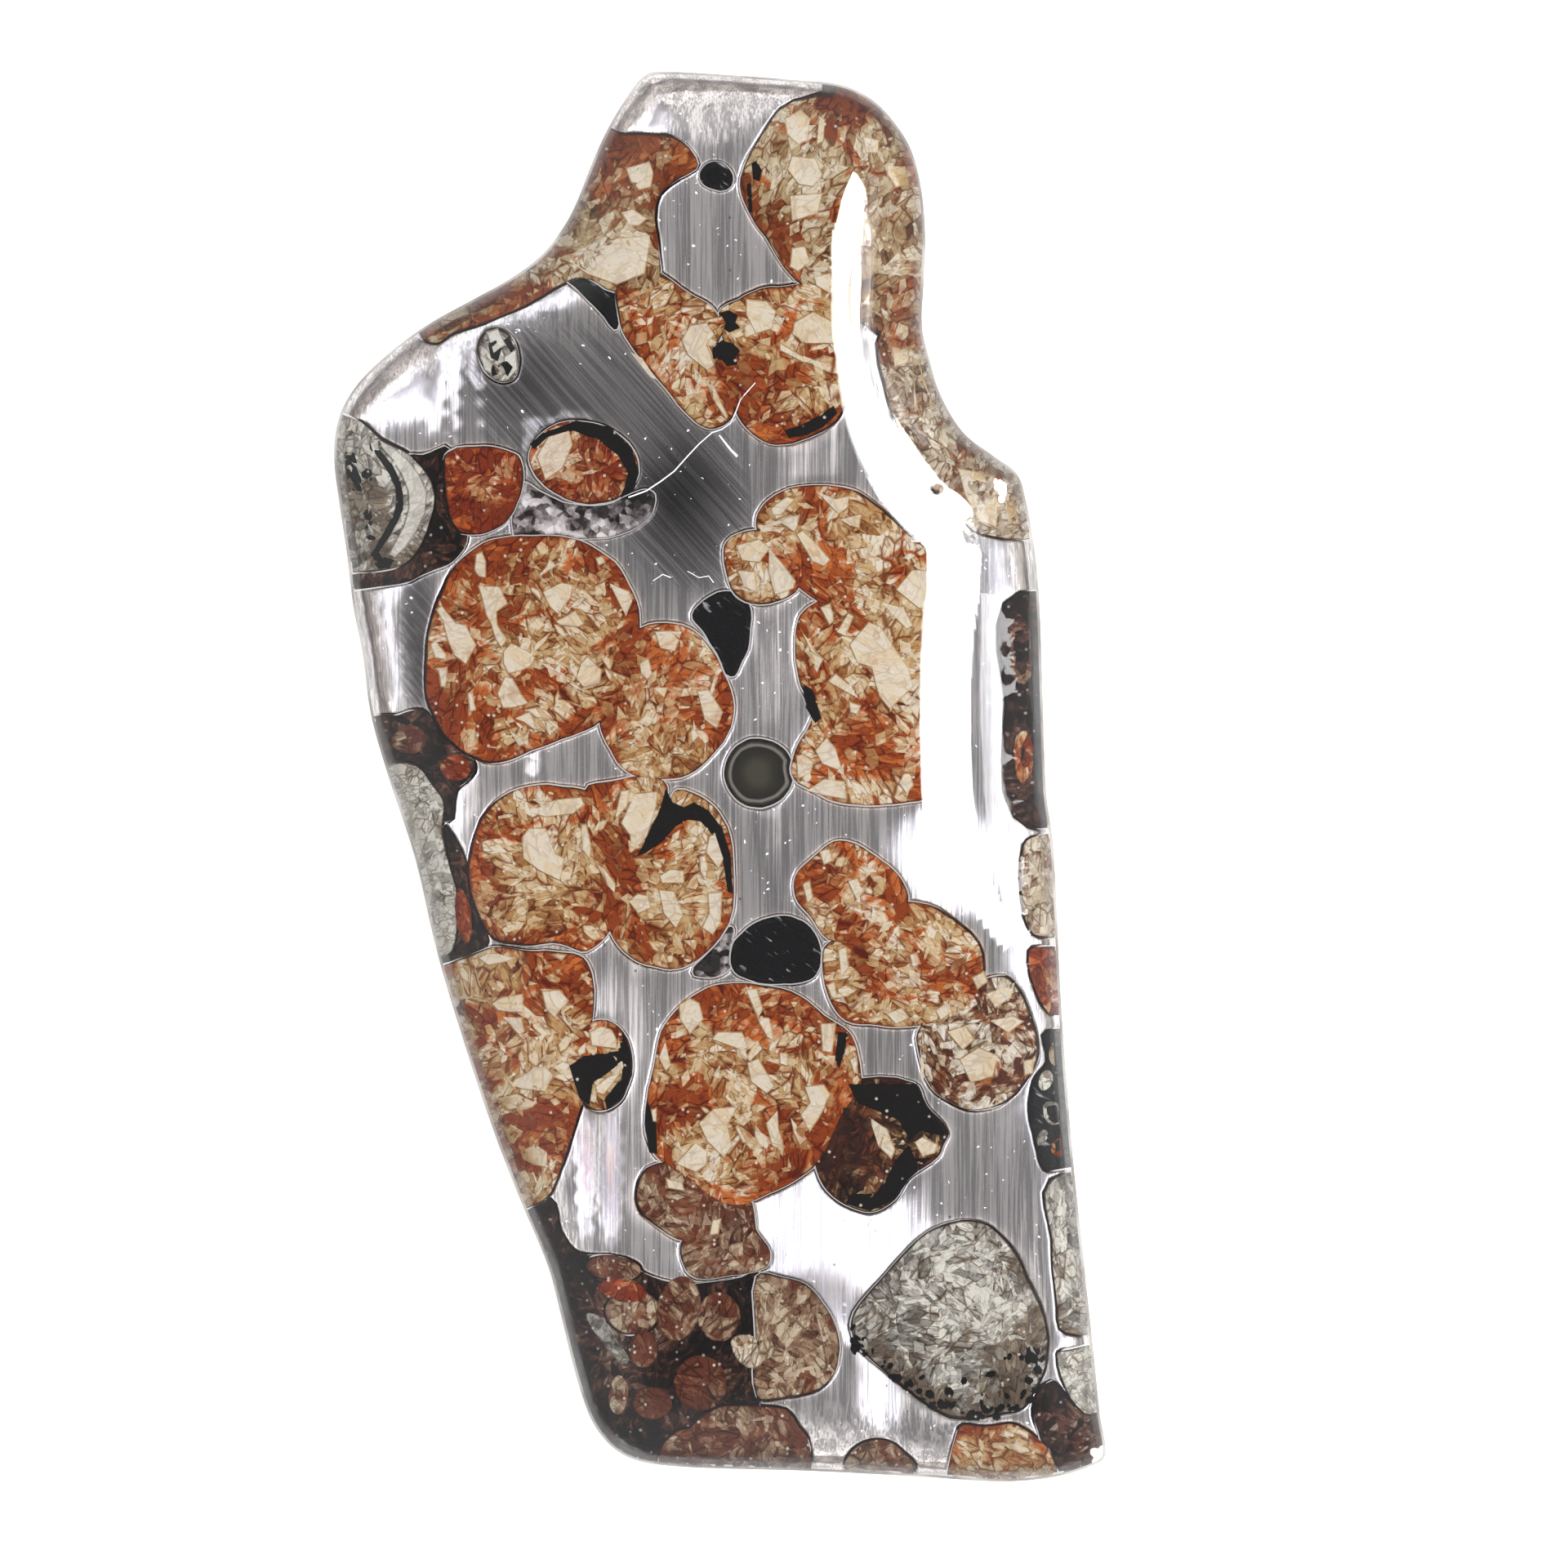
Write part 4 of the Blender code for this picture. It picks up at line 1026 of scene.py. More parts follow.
def inside(points, loop):
    """Which of the points lie inside the loop."""
    (ax, ay), (bx, by) = loop.T, np.roll(loop, -1, 0).T
    rise = np.where(by == ay, 1.0, by - ay)
    odd = []
    for part in np.array_split(points, len(points) // BATCH + 1):
        x, y = part[:, :1], part[:, 1:]
        crossed = ((ay > y) != (by > y)) & (x < (bx - ax) * (y - ay) / rise + ax)
        odd.append(crossed.sum(1) % 2 == 1)
    return np.concatenate(odd)


def inside_any(points, loops):
    """Which of the points lie inside one of the loops or more."""
    found = np.zeros(len(points), bool)
    for loop in loops:
        near = ((points > loop.min(0)) & (points < loop.max(0))).all(1).nonzero()[0]
        found[near] |= inside(points[near], loop)
    return found


def shifted(loop, inwards):
    """The loop moved inwards, or outwards by a negative amount, without what corners would fold over."""
    first = loop - np.roll(loop, 1, 0)
    first /= np.linalg.norm(first, axis=1, keepdims=True)
    second = np.roll(first, -1, 0)
    normal = np.column_stack((-first[:, 1] - second[:, 1], first[:, 0] + second[:, 0]))
    normal /= np.linalg.norm(normal, axis=1, keepdims=True)
    stretch = np.maximum(0.5, normal[:, 1] * first[:, 0] - normal[:, 0] * first[:, 1])
    moved = loop + normal * (inwards / stretch)[:, None]
    clear = distances(moved, [loop]) > abs(inwards) * 0.99
    kept = []
    for i in clear.nonzero()[0]:
        if not kept or (moved[i] - moved[kept[-1]]) @ (loop[i] - loop[kept[-1]]) > 0:
            kept.append(i)
    return moved[kept]


def grid(loop, spacing):
    """Points in staggered rows over the loop's box."""
    (left, low), (right, high) = loop.min(0), loop.max(0)
    x, y = np.meshgrid(np.arange(left, right, spacing), np.arange(low, high, spacing * 0.87))
    x[1::2] += spacing / 2
    return np.column_stack((x.ravel(), y.ravel()))


def region(loops, spots, wanted):
    """The part of the plane that wanted accepts, in triangles whose sides follow the loops."""
    points, sides = [], []
    for loop in loops:
        first = len(points)
        points += [Vector(p) for p in loop]
        sides += [(first + i, first + (i + 1) % len(loop)) for i in range(len(loop))]
    points += [Vector(p) for p in spots]
    flat, _, triangles, *_ = delaunay_2d_cdt(points, sides, [], 0, 1e-8, False)
    flat, triangles = np.array(flat), np.array(triangles)
    kept = triangles[wanted(flat[triangles].mean(1))]
    used, corners = np.unique(kept, return_inverse=True)
    return flat[used], corners.reshape(-1, 3)


def dome(points, edge, low, high, roll, fall=2.0, fullness=0.5):
    """Heights that rise from low at the edge to high once they are roll in from it."""
    left = 1 - np.clip(distances(points, [edge]) / roll, 0, 1)
    return low + (high - low) * (1 - left**fall) ** fullness


EDGE = np.clip(rounded(SILHOUETTE, 6, 0.0), CAD_LOW[:2], CAD_HIGH[:2])
SLICE_EDGE = shifted(EDGE, MARGIN)


def slice_top(points):
    """The height of the slice's polished face."""
    roll = bpy.context.scene.pallasite_slice.slice_roll
    return dome(points, SLICE_EDGE, SLICE_TOP - SLICE_RIM, SLICE_TOP, roll)


def slice_back(points):
    """The height of the slice's back."""
    return dome(points, SLICE_EDGE, SLICE_BACK + SLICE_BACK_RIM, SLICE_BACK, SLICE_BACK_ROLL)


class Shape:
    """Corners, faces and values, gathered before they become one mesh."""

    def __init__(self, **values):
        self.corners = np.empty((0, 3))
        self.faces = []
        self.slots = []
        self.values = {name: np.empty((0, width)) for name, width in values.items()}

    def add(self, corners, faces, slots=0, **values):
        first = len(self.corners)
        self.corners = np.concatenate((self.corners, corners))
        self.faces += [tuple(first + i for i in face) for face in faces]
        self.slots += [slots] * len(faces) if isinstance(slots, int) else list(slots)
        for name, column in self.values.items():
            added = np.array(values[name], float)
            if added.ndim == 1 and column.shape[1] == 1 and len(added) == len(corners):
                added = added[:, None]
            added = np.broadcast_to(added, (len(corners), column.shape[1]))
            self.values[name] = np.concatenate((column, added))

    def raised(self, flat, triangles, top, back, slots=None, **values):
        """Adds a closed body: the triangles at the top heights, turned over at the back ones, and walls."""
        count = len(flat)
        slots = [0] * len(triangles) if slots is None else list(slots)
        sides = {}
        for slot, (a, b, c) in zip(slots, triangles.tolist()):
            sides.update({(a, b): slot, (b, c): slot, (c, a): slot})
        rim = [(side, slot) for side, slot in sides.items() if side[::-1] not in sides]
        walls = [(a, a + count, b + count, b) for (a, b), _ in rim]
        corners = np.concatenate((np.column_stack((flat, top)), np.column_stack((flat, back))))
        faces = triangles.tolist() + (triangles[:, ::-1] + count).tolist() + walls
        values = {name: np.concatenate((column, column)) for name, column in values.items()}
        self.add(corners, faces, slots + slots + [slot for _, slot in rim], **values)

    def plate(self, loop, lift, slot=0, **values):
        """Adds a thin plate over the slice's face, of any outline, with a sloping edge."""
        inner = shifted(loop, PLATE_SLOPE)
        loops = [loop, inner] if len(inner) > 2 else [loop]
        loops += [SLICE_EDGE] * (not inside(loop, SLICE_EDGE).all())

        def wanted(middles):
            return inside(middles, loop) & inside(middles, SLICE_EDGE)

        flat, triangles = region(loops, [], wanted)
        if not len(triangles):
            return
        high = slice_top(flat) + lift
        high -= PLATE_FALL * (1 - np.clip(distances(flat, [loop], MM) / PLATE_SLOPE, 0, 1))
        values = {name: np.full(len(flat), value) for name, value in values.items()}
        self.raised(flat, triangles, high, high - PLATE_THICKNESS, [slot] * len(triangles), **values)

    def made(self, name, materials, sharp=40):
        """The piece as an object, smooth but for edges sharper than sharp degrees."""
        mesh = bpy.data.meshes.new(f"{name}_polished")
        mesh.from_pydata(self.corners.tolist(), [], self.faces)
        for material in materials:
            mesh.materials.append(material)
        mesh.polygons.foreach_set("material_index", self.slots)
        for value, column in self.values.items():
            kind, field = ("FLOAT", "value") if column.shape[1] == 1 else ("FLOAT_VECTOR", "vector")
            mesh.attributes.new(value, kind, "POINT").data.foreach_set(field, column.ravel())
        mesh.shade_smooth()
        mesh.set_sharp_from_angle(angle=radians(sharp))
        piece = bpy.data.objects.new(mesh.name, mesh)
        bpy.context.scene.collection.objects.link(piece)
        return piece


def settle(piece, slot, *nodes):
    """Attaches a finished piece to the root body and hides the nodes that it stands for. The slot is not
    used.
    """
    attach(piece, "root")
    if nodes:
        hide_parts(*nodes)


class Nodes:
    """A short way to add nodes to a tree and join them."""

    def __init__(self, tree):
        self.tree = tree

    def fill(self, sockets, values):
        """Puts values or links in these sockets, by name or number. None leaves a socket alone."""
        for key, value in values.items():
            if isinstance(value, bpy.types.NodeSocket):
                self.tree.links.new(value, sockets[key])
            elif value is not None:
                sockets[key].default_value = value

    def add(self, kind, *values, **settings):
        """A node with these values or links in its inputs, in order."""
        inputs = settings.pop("inputs", {})
        node = self.tree.nodes.new(kind)
        for name, value in settings.items():
            setattr(node, name, value)
        self.fill(node.inputs, {**dict(enumerate(values)), **inputs})
        return node

    def math(self, operation, *values):
        return self.add("ShaderNodeMath", *values, operation=operation).outputs[0]

    def times(self, first, second):
        return self.math("MULTIPLY", first, second)

    def less_half(self, value):
        return self.math("SUBTRACT", value, 0.5)

    def inverted(self, value):
        return self.math("SUBTRACT", 1.0, value)

    def vector(self, operation, *values):
        return self.add("ShaderNodeVectorMath", *values, operation=operation).outputs[0]

    def between(self, value, low, high, start=0.0, end=1.0, smooth=True):
        """The value moved from the range low to high onto the range start to end."""
        kind = "SMOOTHSTEP" if smooth else "LINEAR"
        node = self.add("ShaderNodeMapRange", value, low, high, start, end, interpolation_type=kind)
        return node.outputs[0]

    def mixed(self, factor, first, second, blend="MIX"):
        """Two colours mixed."""
        colours = [c if isinstance(c, bpy.types.NodeSocket) else (*c, 1.0) for c in (first, second)]
        inputs = {0: factor, 6: colours[0], 7: colours[1]}
        return self.add("ShaderNodeMix", data_type="RGBA", blend_type=blend, inputs=inputs).outputs[2]

    def ramp(self, value, *stops):
        """A colour for each value. Stops are (place, colour)."""
        node = self.add("ShaderNodeValToRGB", value)
        for i, (place, colour) in enumerate(stops):
            stop = node.color_ramp.elements[i] if i < 2 else node.color_ramp.elements.new(place)
            stop.position = place
            stop.color = (*colour, 1.0)
        return node.outputs[0]

    def noise(self, place, scale, detail=3.0, roughness=0.5, output=0):
        inputs = {"Vector": place, "Scale": scale, "Detail": detail, "Roughness": roughness}
        return self.add("ShaderNodeTexNoise", inputs=inputs).outputs[output]

    def cells(self, place, scale, feature="F1"):
        return self.add("ShaderNodeTexVoronoi", inputs={"Vector": place, "Scale": scale}, feature=feature)

    def chances(self, cells):
        """Three random values for each cell."""
        return self.add("ShaderNodeSeparateColor", cells.outputs["Color"]).outputs

    def normal(self):
        """The direction that the surface faces."""
        return self.add("ShaderNodeNewGeometry").outputs["Normal"]

    def bumped(self, height, strength, distance, normal=None):
        """A direction tilted by the slopes of this height."""
        inputs = {"Height": height, "Strength": strength, "Distance": distance, "Normal": normal}
        return self.add("ShaderNodeBump", inputs=inputs).outputs[0]

    def value_of(self, name):
        """The value of a mesh attribute."""
        return self.add("ShaderNodeAttribute", attribute_name=name).outputs["Fac"]

    def place(self, stretch=(1.0, 1.0, 1.0), turn=0.0):
        """Object coordinates, turned about Z by turn degrees and stretched."""
        coordinates = self.add("ShaderNodeTexCoord").outputs["Object"]
        node = self.add("ShaderNodeMapping", coordinates, vector_type="TEXTURE")
        node.inputs["Rotation"].default_value = (0, 0, radians(turn))
        node.inputs["Scale"].default_value = stretch
        return node.outputs[0]


def group(name, inputs, outputs):
    """A new shader node group with named inputs and outputs: itself, its nodes and its inputs."""
    tree = bpy.data.node_groups.new(name, "ShaderNodeTree")
    kind = "NodeSocketFloat"
    for socket, default in inputs.items():
        tree.interface.new_socket(name=socket, in_out="INPUT", socket_type=kind).default_value = default
    for socket in outputs:
        tree.interface.new_socket(name=socket, in_out="OUTPUT", socket_type=kind)
    nodes = Nodes(tree)
    return tree, nodes, nodes.add("NodeGroupInput").outputs


def crack_pattern():
    """Olivine broken into long shards of uneven shade, with dark outlines and rust from its cracks."""
    name = "olivine cracks"
    if name in bpy.data.node_groups:
        return bpy.data.node_groups[name]
    outputs = ("Shift", "Outlines", "Rust", "Sparkle", "Height")
    tree, n, inputs = group(name, {"Size": 0.0004, "Rust": 0.4}, outputs)
    scale = n.math("DIVIDE", 1.0, inputs["Size"])
    place = n.place((1.0, 1.0, 2.5))
    bend = n.vector("SUBTRACT", n.noise(place, 700.0, 2.0, output="Color"), (0.5, 0.5, 0.5))
    bent = n.vector("ADD", place, n.vector("MULTIPLY", bend, (0.0009, 0.0009, 0.0)))
    area = n.chances(n.cells(bent, n.times(scale, 0.28)))
    ripple = n.vector("ADD", place, n.vector("MULTIPLY", bend, (0.00028, 0.00028, 0.0)))
    turned = n.add(
        "ShaderNodeVectorRotate", inputs={"Vector": ripple, "Angle": n.times(area[1], pi)},
        rotation_type="Z_AXIS",
    ).outputs[0]
    shift = n.times(n.less_half(area[0]), 0.16)
    outlines, height = None, n.times(area[2], 0.3)
    for finer, narrow, share, line in ((1.0, 0.42, 0.34, 0.14), (2.3, 0.36, 0.24, 0.17)):
        long = n.vector("MULTIPLY", turned, (1.0, narrow, 1.0))
        size = n.times(scale, finer)
        shard = n.chances(n.cells(long, size))
        shift = n.math("MULTIPLY_ADD", n.less_half(shard[0]), share, shift)
        height = n.math("MULTIPLY_ADD", shard[2], share * 1.4, height)
        gap = n.cells(long, size, "DISTANCE_TO_EDGE").outputs["Distance"]
        width = n.between(n.noise(place, 1300.0 * finer, 2.0), 0.40, 0.62, 0.0, line)
        drawn = n.inverted(n.between(gap, 0.0, n.math("ADD", width, 0.0001)))
        drawn = n.times(drawn, 1.0 / finer**0.5)
        outlines = drawn if outlines is None else n.math("MAXIMUM", outlines, drawn)
    fine = n.noise(place, 6500.0, 3.0, 0.65)
    shift = n.math("MULTIPLY_ADD", n.less_half(fine), 0.34, shift)
    clouds = n.noise(ripple, 430.0, 4.0, 0.62)
    border = n.cells(bent, n.times(scale, 0.20), "DISTANCE_TO_EDGE").outputs["Distance"]
    halo = n.math("EXPONENT", n.times(border, -16.0))
    fade = n.between(n.noise(place, 600.0, 2.0), 0.38, 0.62)
    veins = n.times(halo, fade)
    wander = n.noise(n.vector("MULTIPLY", bent, (1.0, 0.55, 1.0)), 420.0, 2.0)
    thread = n.inverted(n.between(n.math("ABSOLUTE", n.less_half(wander)), 0.0, 0.022))
    spread = n.math("MULTIPLY_ADD", n.less_half(clouds), 2.1, inputs["Rust"])
    spread = n.math("MULTIPLY_ADD", veins, 0.60, spread)
    spread = n.math("MULTIPLY_ADD", n.times(thread, fade), 0.22, spread)
    spread = n.math("MULTIPLY_ADD", shift, 0.6, spread)
    rust = n.between(spread, 0.50, 0.86)
    points = n.cells(place, 5200.0)
    lit = n.chances(points)[0]
    near = n.inverted(n.between(points.outputs["Distance"], 0.15, 0.4))
    sparkle = n.times(near, n.math("GREATER_THAN", lit, 0.94))
    n.add("NodeGroupOutput", shift, outlines, rust, sparkle, height)
    return tree


def gap_shade_rim_pattern():
    """A dark line round each crystal, of uneven width: painted shade of the narrow gap between crystal and
    metal, and partly a thin rusty joint.
    """
    name = "dark rim"
    if name in bpy.data.node_groups:
        return bpy.data.node_groups[name]
    tree, n, inputs = group(name, {"Width": 0.09}, ("Rim",))
    uneven = n.between(n.noise(n.place(), 700.0, 2.0), 0.35, 0.7, 0.35, 1.6)
    width = n.times(inputs["Width"], uneven)
    rim = n.inverted(n.between(n.value_of("edge"), n.times(width, 0.3), width))
    n.add("NodeGroupOutput", rim)
    return tree


def brush_pattern():
    """Fine lines that brushing leaves in metal, all one way, and wider bands of them."""
    name = "brushed lines"
    if name in bpy.data.node_groups:
        return bpy.data.node_groups[name]
    tree, n, inputs = group(name, {"Turn": 0.0, "Fineness": 14000.0}, ("Lines", "Bands"))
    place = n.add("ShaderNodeTexCoord").outputs["Object"]
    turn = {"Vector": place, "Angle": inputs["Turn"]}
    turned = n.add("ShaderNodeVectorRotate", inputs=turn, rotation_type="Z_AXIS").outputs[0]
    stretched = n.vector("MULTIPLY", turned, (1.0, 0.02, 1.0))
    lines = n.noise(stretched, inputs["Fineness"], 2.0, 0.6)
    bands = n.noise(stretched, n.times(inputs["Fineness"], 0.16), 3.0, 0.6)
    n.add("NodeGroupOutput", n.between(lines, 0.3, 0.7), n.between(bands, 0.35, 0.65))
    return tree


def pattern(nodes, tree, *values):
    """A group's outputs, with these values or links in its inputs."""
    node = nodes.add("ShaderNodeGroup", node_tree=tree)
    nodes.fill(node.inputs, dict(enumerate(values)))
    return node.outputs


def blank_material(name):
    """A new material's nodes and its Principled node's inputs."""
    material = bpy.data.materials.new(name)
    material.use_nodes = True
    return material, Nodes(material.node_tree), material.node_tree.nodes["Principled BSDF"].inputs


def olivine_colours(kind):
    """Colours of one kind of olivine, from clear to dark, and its lighter and deeper rust."""
    finish = bpy.context.scene.pallasite_finish
    clear, honey, rust = finish.clear, finish.honey, finish.rust
    black = (0.006, 0.005, 0.005)
    return {
        "amber": (
            ((0.0, clear), (0.14, (0.80, 0.66, 0.45)), (0.32, (0.62, 0.44, 0.23)), (0.52, honey),
             (0.70, (0.30, 0.12, 0.04)), (0.86, (0.09, 0.025, 0.009)), (1.0, black)),
            (0.58, 0.16, 0.035), rust,
        ),
        "golden": (
            ((0.0, (0.74, 0.66, 0.52)), (0.16, (0.60, 0.49, 0.32)), (0.36, (0.44, 0.31, 0.16)),
             (0.58, (0.27, 0.15, 0.06)), (0.80, (0.09, 0.035, 0.015)), (1.0, black)),
            (0.46, 0.15, 0.04), (0.22, 0.045, 0.010),
        ),
        "pale": (
            ((0.0, clear), (0.18, (0.70, 0.60, 0.46)), (0.40, (0.47, 0.37, 0.26)),
             (0.62, (0.28, 0.18, 0.11)), (0.84, (0.09, 0.045, 0.03)), (1.0, black)),
            (0.42, 0.20, 0.09), (0.20, 0.07, 0.03),
        ),
        "brown": (
            ((0.0, (0.62, 0.50, 0.36)), (0.20, (0.42, 0.29, 0.19)), (0.42, (0.27, 0.16, 0.10)),
             (0.62, (0.16, 0.075, 0.045)), (0.82, (0.05, 0.022, 0.016)), (1.0, black)),
            (0.26, 0.10, 0.05), (0.13, 0.035, 0.018),
        ),
        "cream": (
            ((0.0, (0.88, 0.82, 0.72)), (0.26, (0.72, 0.64, 0.52)), (0.42, (0.42, 0.28, 0.16)),
             (0.60, (0.20, 0.08, 0.04)), (0.80, (0.05, 0.02, 0.014)), (1.0, black)),
            (0.42, 0.15, 0.05), (0.10, 0.025, 0.012),
        ),
        "dark": (
            ((0.0, (0.66, 0.56, 0.40)), (0.14, (0.50, 0.34, 0.18)), (0.26, (0.22, 0.11, 0.05)),
             (0.38, (0.05, 0.025, 0.016)), (0.60, (0.014, 0.010, 0.009)), (1.0, black)),
            (0.20, 0.07, 0.03), (0.05, 0.014, 0.008),
        ),
        "red": (
            ((0.0, (0.82, 0.72, 0.58)), (0.20, (0.66, 0.46, 0.28)), (0.42, (0.50, 0.20, 0.07)),
             (0.62, (0.26, 0.06, 0.018)), (0.82, (0.09, 0.022, 0.010)), (1.0, black)),
            (0.52, 0.11, 0.020), (0.22, 0.030, 0.008),
        ),
        "grey": (
            ((0.0, (0.80, 0.78, 0.70)), (0.22, (0.50, 0.48, 0.43)), (0.42, (0.30, 0.285, 0.255)),
             (0.62, (0.15, 0.138, 0.120)), (0.80, (0.05, 0.044, 0.038)), (1.0, black)),
            (0.33, 0.27, 0.20), (0.16, 0.12, 0.09),
        ),
    }[kind]


def olivine(kind):
    """Cracked olivine of one colour, made the first time it is asked for."""
    name = f"cracked_olivine_{kind}"
    if name in bpy.data.materials:
        return bpy.data.materials[name]
    material, n, shader = blank_material(name)
    steps, light_rust, deep_rust = olivine_colours(kind)
    size = 0.00040 if kind in ("amber", "golden") else 0.00030
    shift, outlines, rust, sparkle, height = pattern(n, crack_pattern(), size, n.value_of("tone"))
    (rim,) = pattern(n, gap_shade_rim_pattern(), 0.055)
    plain = n.inverted(n.value_of("clear"))
    even = n.times(n.value_of("tone"), 0.72)
    tone = n.math("MULTIPLY_ADD", n.times(shift, plain), 1.6, even)
    # Painted shade: the steep sides of windows, dark places and chips are made darker than their tops
    slope = n.add("ShaderNodeSeparateXYZ", n.normal()).outputs[2]
    side = n.times(n.between(slope, 0.93, 0.55), n.math("GREATER_THAN", n.value_of("clear"), 0.3))
    tone = n.math("MULTIPLY_ADD", side, 0.30, tone)
    colour = n.ramp(tone, *steps)
    rusty = n.mixed(n.between(tone, 0.15, 0.62), light_rust, deep_rust)
    colour = n.mixed(n.times(rust, plain), colour, rusty)
    drawn = n.times(outlines, plain)
    lines = (0.34, 0.14, 0.05) if kind in ("amber", "golden", "red") else (0.30, 0.23, 0.18)
    colour = n.mixed(drawn, colour, lines, "MULTIPLY")
    colour = n.mixed(n.times(sparkle, 0.75), colour, (0.92, 0.84, 0.70))
    # The dark rim: painted shade of the gap between crystal and metal, partly the real rusty joint
    colour = n.mixed(n.times(rim, 0.92), colour, (0.030, 0.009, 0.004))
    n.tree.links.new(colour, shader["Base Color"])
    n.tree.links.new(n.between(tone, 0.0, 1.0, 0.22, 0.5), shader["Roughness"])
    shader["Specular IOR Level"].default_value = 0.2
    shader["Transmission Weight"].default_value = 0.12
    shader["IOR"].default_value = 1.3
    n.tree.links.new(n.bumped(height, 0.7, 0.00006), shader["Normal"])
    return material


def metal_material():
    """Polished metal with brushed lines, scratches and pits, leaning where the mesh says, and painted
    reflection shade in its colour.
    """
    material, n, shader = blank_material("polished_metal")
    lines, bands = pattern(n, brush_pattern(), 0.0, 14000.0)
    slanted, wide = pattern(n, brush_pattern(), radians(-42), 9000.0)
    shade = n.value_of("shade")
    upright = n.mixed(0.45, lines, bands)
    marks = n.mixed(n.between(shade, 0.80, 0.45), upright, n.mixed(0.3, slanted, wide))
    tint = bpy.context.scene.pallasite_finish.metal
    dark = [0.52 * part for part in tint]
    # Painted reflection shade: the mesh's shade value multiplies the metal's colour
    painted_shade_colour = n.add("ShaderNodeCombineColor", shade, shade, shade).outputs[0]
    across = n.noise(n.place((1.0, 0.05, 1.0), 28.0), 5200.0, 2.0)
    marks = n.math("MULTIPLY_ADD", n.between(across, 0.60, 0.75), 0.4, marks)
    light = [min(1.0, 1.16 * part) for part in tint]
    colour = n.mixed(1.0, n.mixed(n.between(marks, 0.22, 0.85), dark, light), painted_shade_colour, "MULTIPLY")
    pits = n.cells(n.place(), 2600.0)
    chance = n.chances(pits)[0]
    near = n.math("LESS_THAN", pits.outputs["Distance"], 0.13)
    pit = n.times(near, n.math("GREATER_THAN", chance, 0.93))
    colour = n.mixed(n.times(pit, 0.7), colour, (0.10, 0.09, 0.09))
    n.tree.links.new(colour, shader["Base Color"])
    shader["Metallic"].default_value = 1.0
    n.tree.links.new(n.between(marks, 0.0, 1.0, 0.26, 0.20, False), shader["Roughness"])
    lean = n.add("ShaderNodeAttribute", attribute_name="lean").outputs["Vector"]
    streaks = n.math("MULTIPLY_ADD", n.less_half(upright), 0.5, 1.0)
    leaning = n.add("ShaderNodeVectorMath", lean, inputs={"Scale": streaks}, operation="SCALE").outputs[0]
    normal = n.vector("NORMALIZE", n.vector("ADD", n.normal(), leaning))
    n.tree.links.new(n.bumped(marks, 0.08, 0.00001, normal), shader["Normal"])
    return material


def resin_material():
    """Clear resin that yellows what lies deep in it."""
    material, n, shader = blank_material("clear_resin")
    shader["Base Color"].default_value = (1.0, 1.0, 1.0, 1.0)
    shader["Transmission Weight"].default_value = 1.0
    shader["IOR"].default_value = 1.5
    smears = n.between(n.noise(n.place((1.0, 3.0, 1.0), 12.0), 260.0, 4.0), 0.4, 0.8, 0.012, 0.05)
    n.tree.links.new(smears, shader["Roughness"])
    tint = bpy.context.scene.pallasite_finish.resin
    tree = n.tree
    depth = n.add("ShaderNodeVolumeAbsorption", inputs={"Color": (*tint, 1.0), "Density": 30.0})
    tree.links.new(depth.outputs[0], tree.nodes["Material Output"].inputs["Volume"])
    return material


def edge_material():
    """The resin's ground outer edge, dull and stained."""
    material, n, shader = blank_material("ground_resin_edge")
    stain = n.noise(n.place(), 500.0, 3.0)
    stained = n.mixed(n.between(stain, 0.35, 0.65), (0.20, 0.165, 0.14), (0.66, 0.62, 0.57))
    n.tree.links.new(stained, shader["Base Color"])
    shader["Transmission Weight"].default_value = 0.7
    shader["IOR"].default_value = 1.5
    shader["Roughness"].default_value = 0.45
    return material


def black_material():
    """Black mineral with painted highlight streaks on some facets, standing for their reflections."""
    material, n, shader = blank_material("black_grain")
    facets = n.chances(n.cells(n.place((1.0, 0.5, 1.0), 25.0), 1500.0))
    streaks = n.noise(n.place((1.0, 0.2, 1.0), -38.0), 1300.0, 3.0)
    # Painted highlight: pale streaks in the base colour stand for reflections on the facets
    bright = n.times(n.between(streaks, 0.58, 0.72), n.between(facets[0], 0.45, 0.9))
    n.tree.links.new(n.mixed(bright, (0.002, 0.002, 0.003), (0.42, 0.44, 0.48)), shader["Base Color"])
    shader["Specular IOR Level"].default_value = 0.2
    n.tree.links.new(n.between(streaks, 0.3, 0.7, 0.1, 0.35), shader["Roughness"])
    n.tree.links.new(n.bumped(facets[1], 0.6, 0.00005), shader["Normal"])
    return material


def bead_material():
    """A dark glassy bead with painted rings that follow its edge: a painted highlight ring, and painted
    shade from black at the edge to dark olive in the middle.
    """
    material, n, shader = blank_material("dark_bead")
    uneven = n.times(n.math("SUBTRACT", n.noise(n.place(), 900.0, 3.0), 0.5), 0.22)
    depth = n.math("ADD", n.value_of("edge"), uneven)
    # Painted highlight: the pale ring at 0.22; painted shade: black at the edge, lighter towards the middle
    colour = n.ramp(
        depth, (0.0, (0.003, 0.003, 0.003)), (0.12, (0.008, 0.007, 0.006)), (0.22, (0.22, 0.21, 0.18)),
        (0.30, (0.012, 0.010, 0.008)), (0.62, (0.022, 0.020, 0.013)), (0.9, (0.05, 0.046, 0.032)),
    )
    n.tree.links.new(colour, shader["Base Color"])
    n.tree.links.new(n.between(depth, 0.0, 0.9, 0.25, 0.08), shader["Roughness"])
    return material


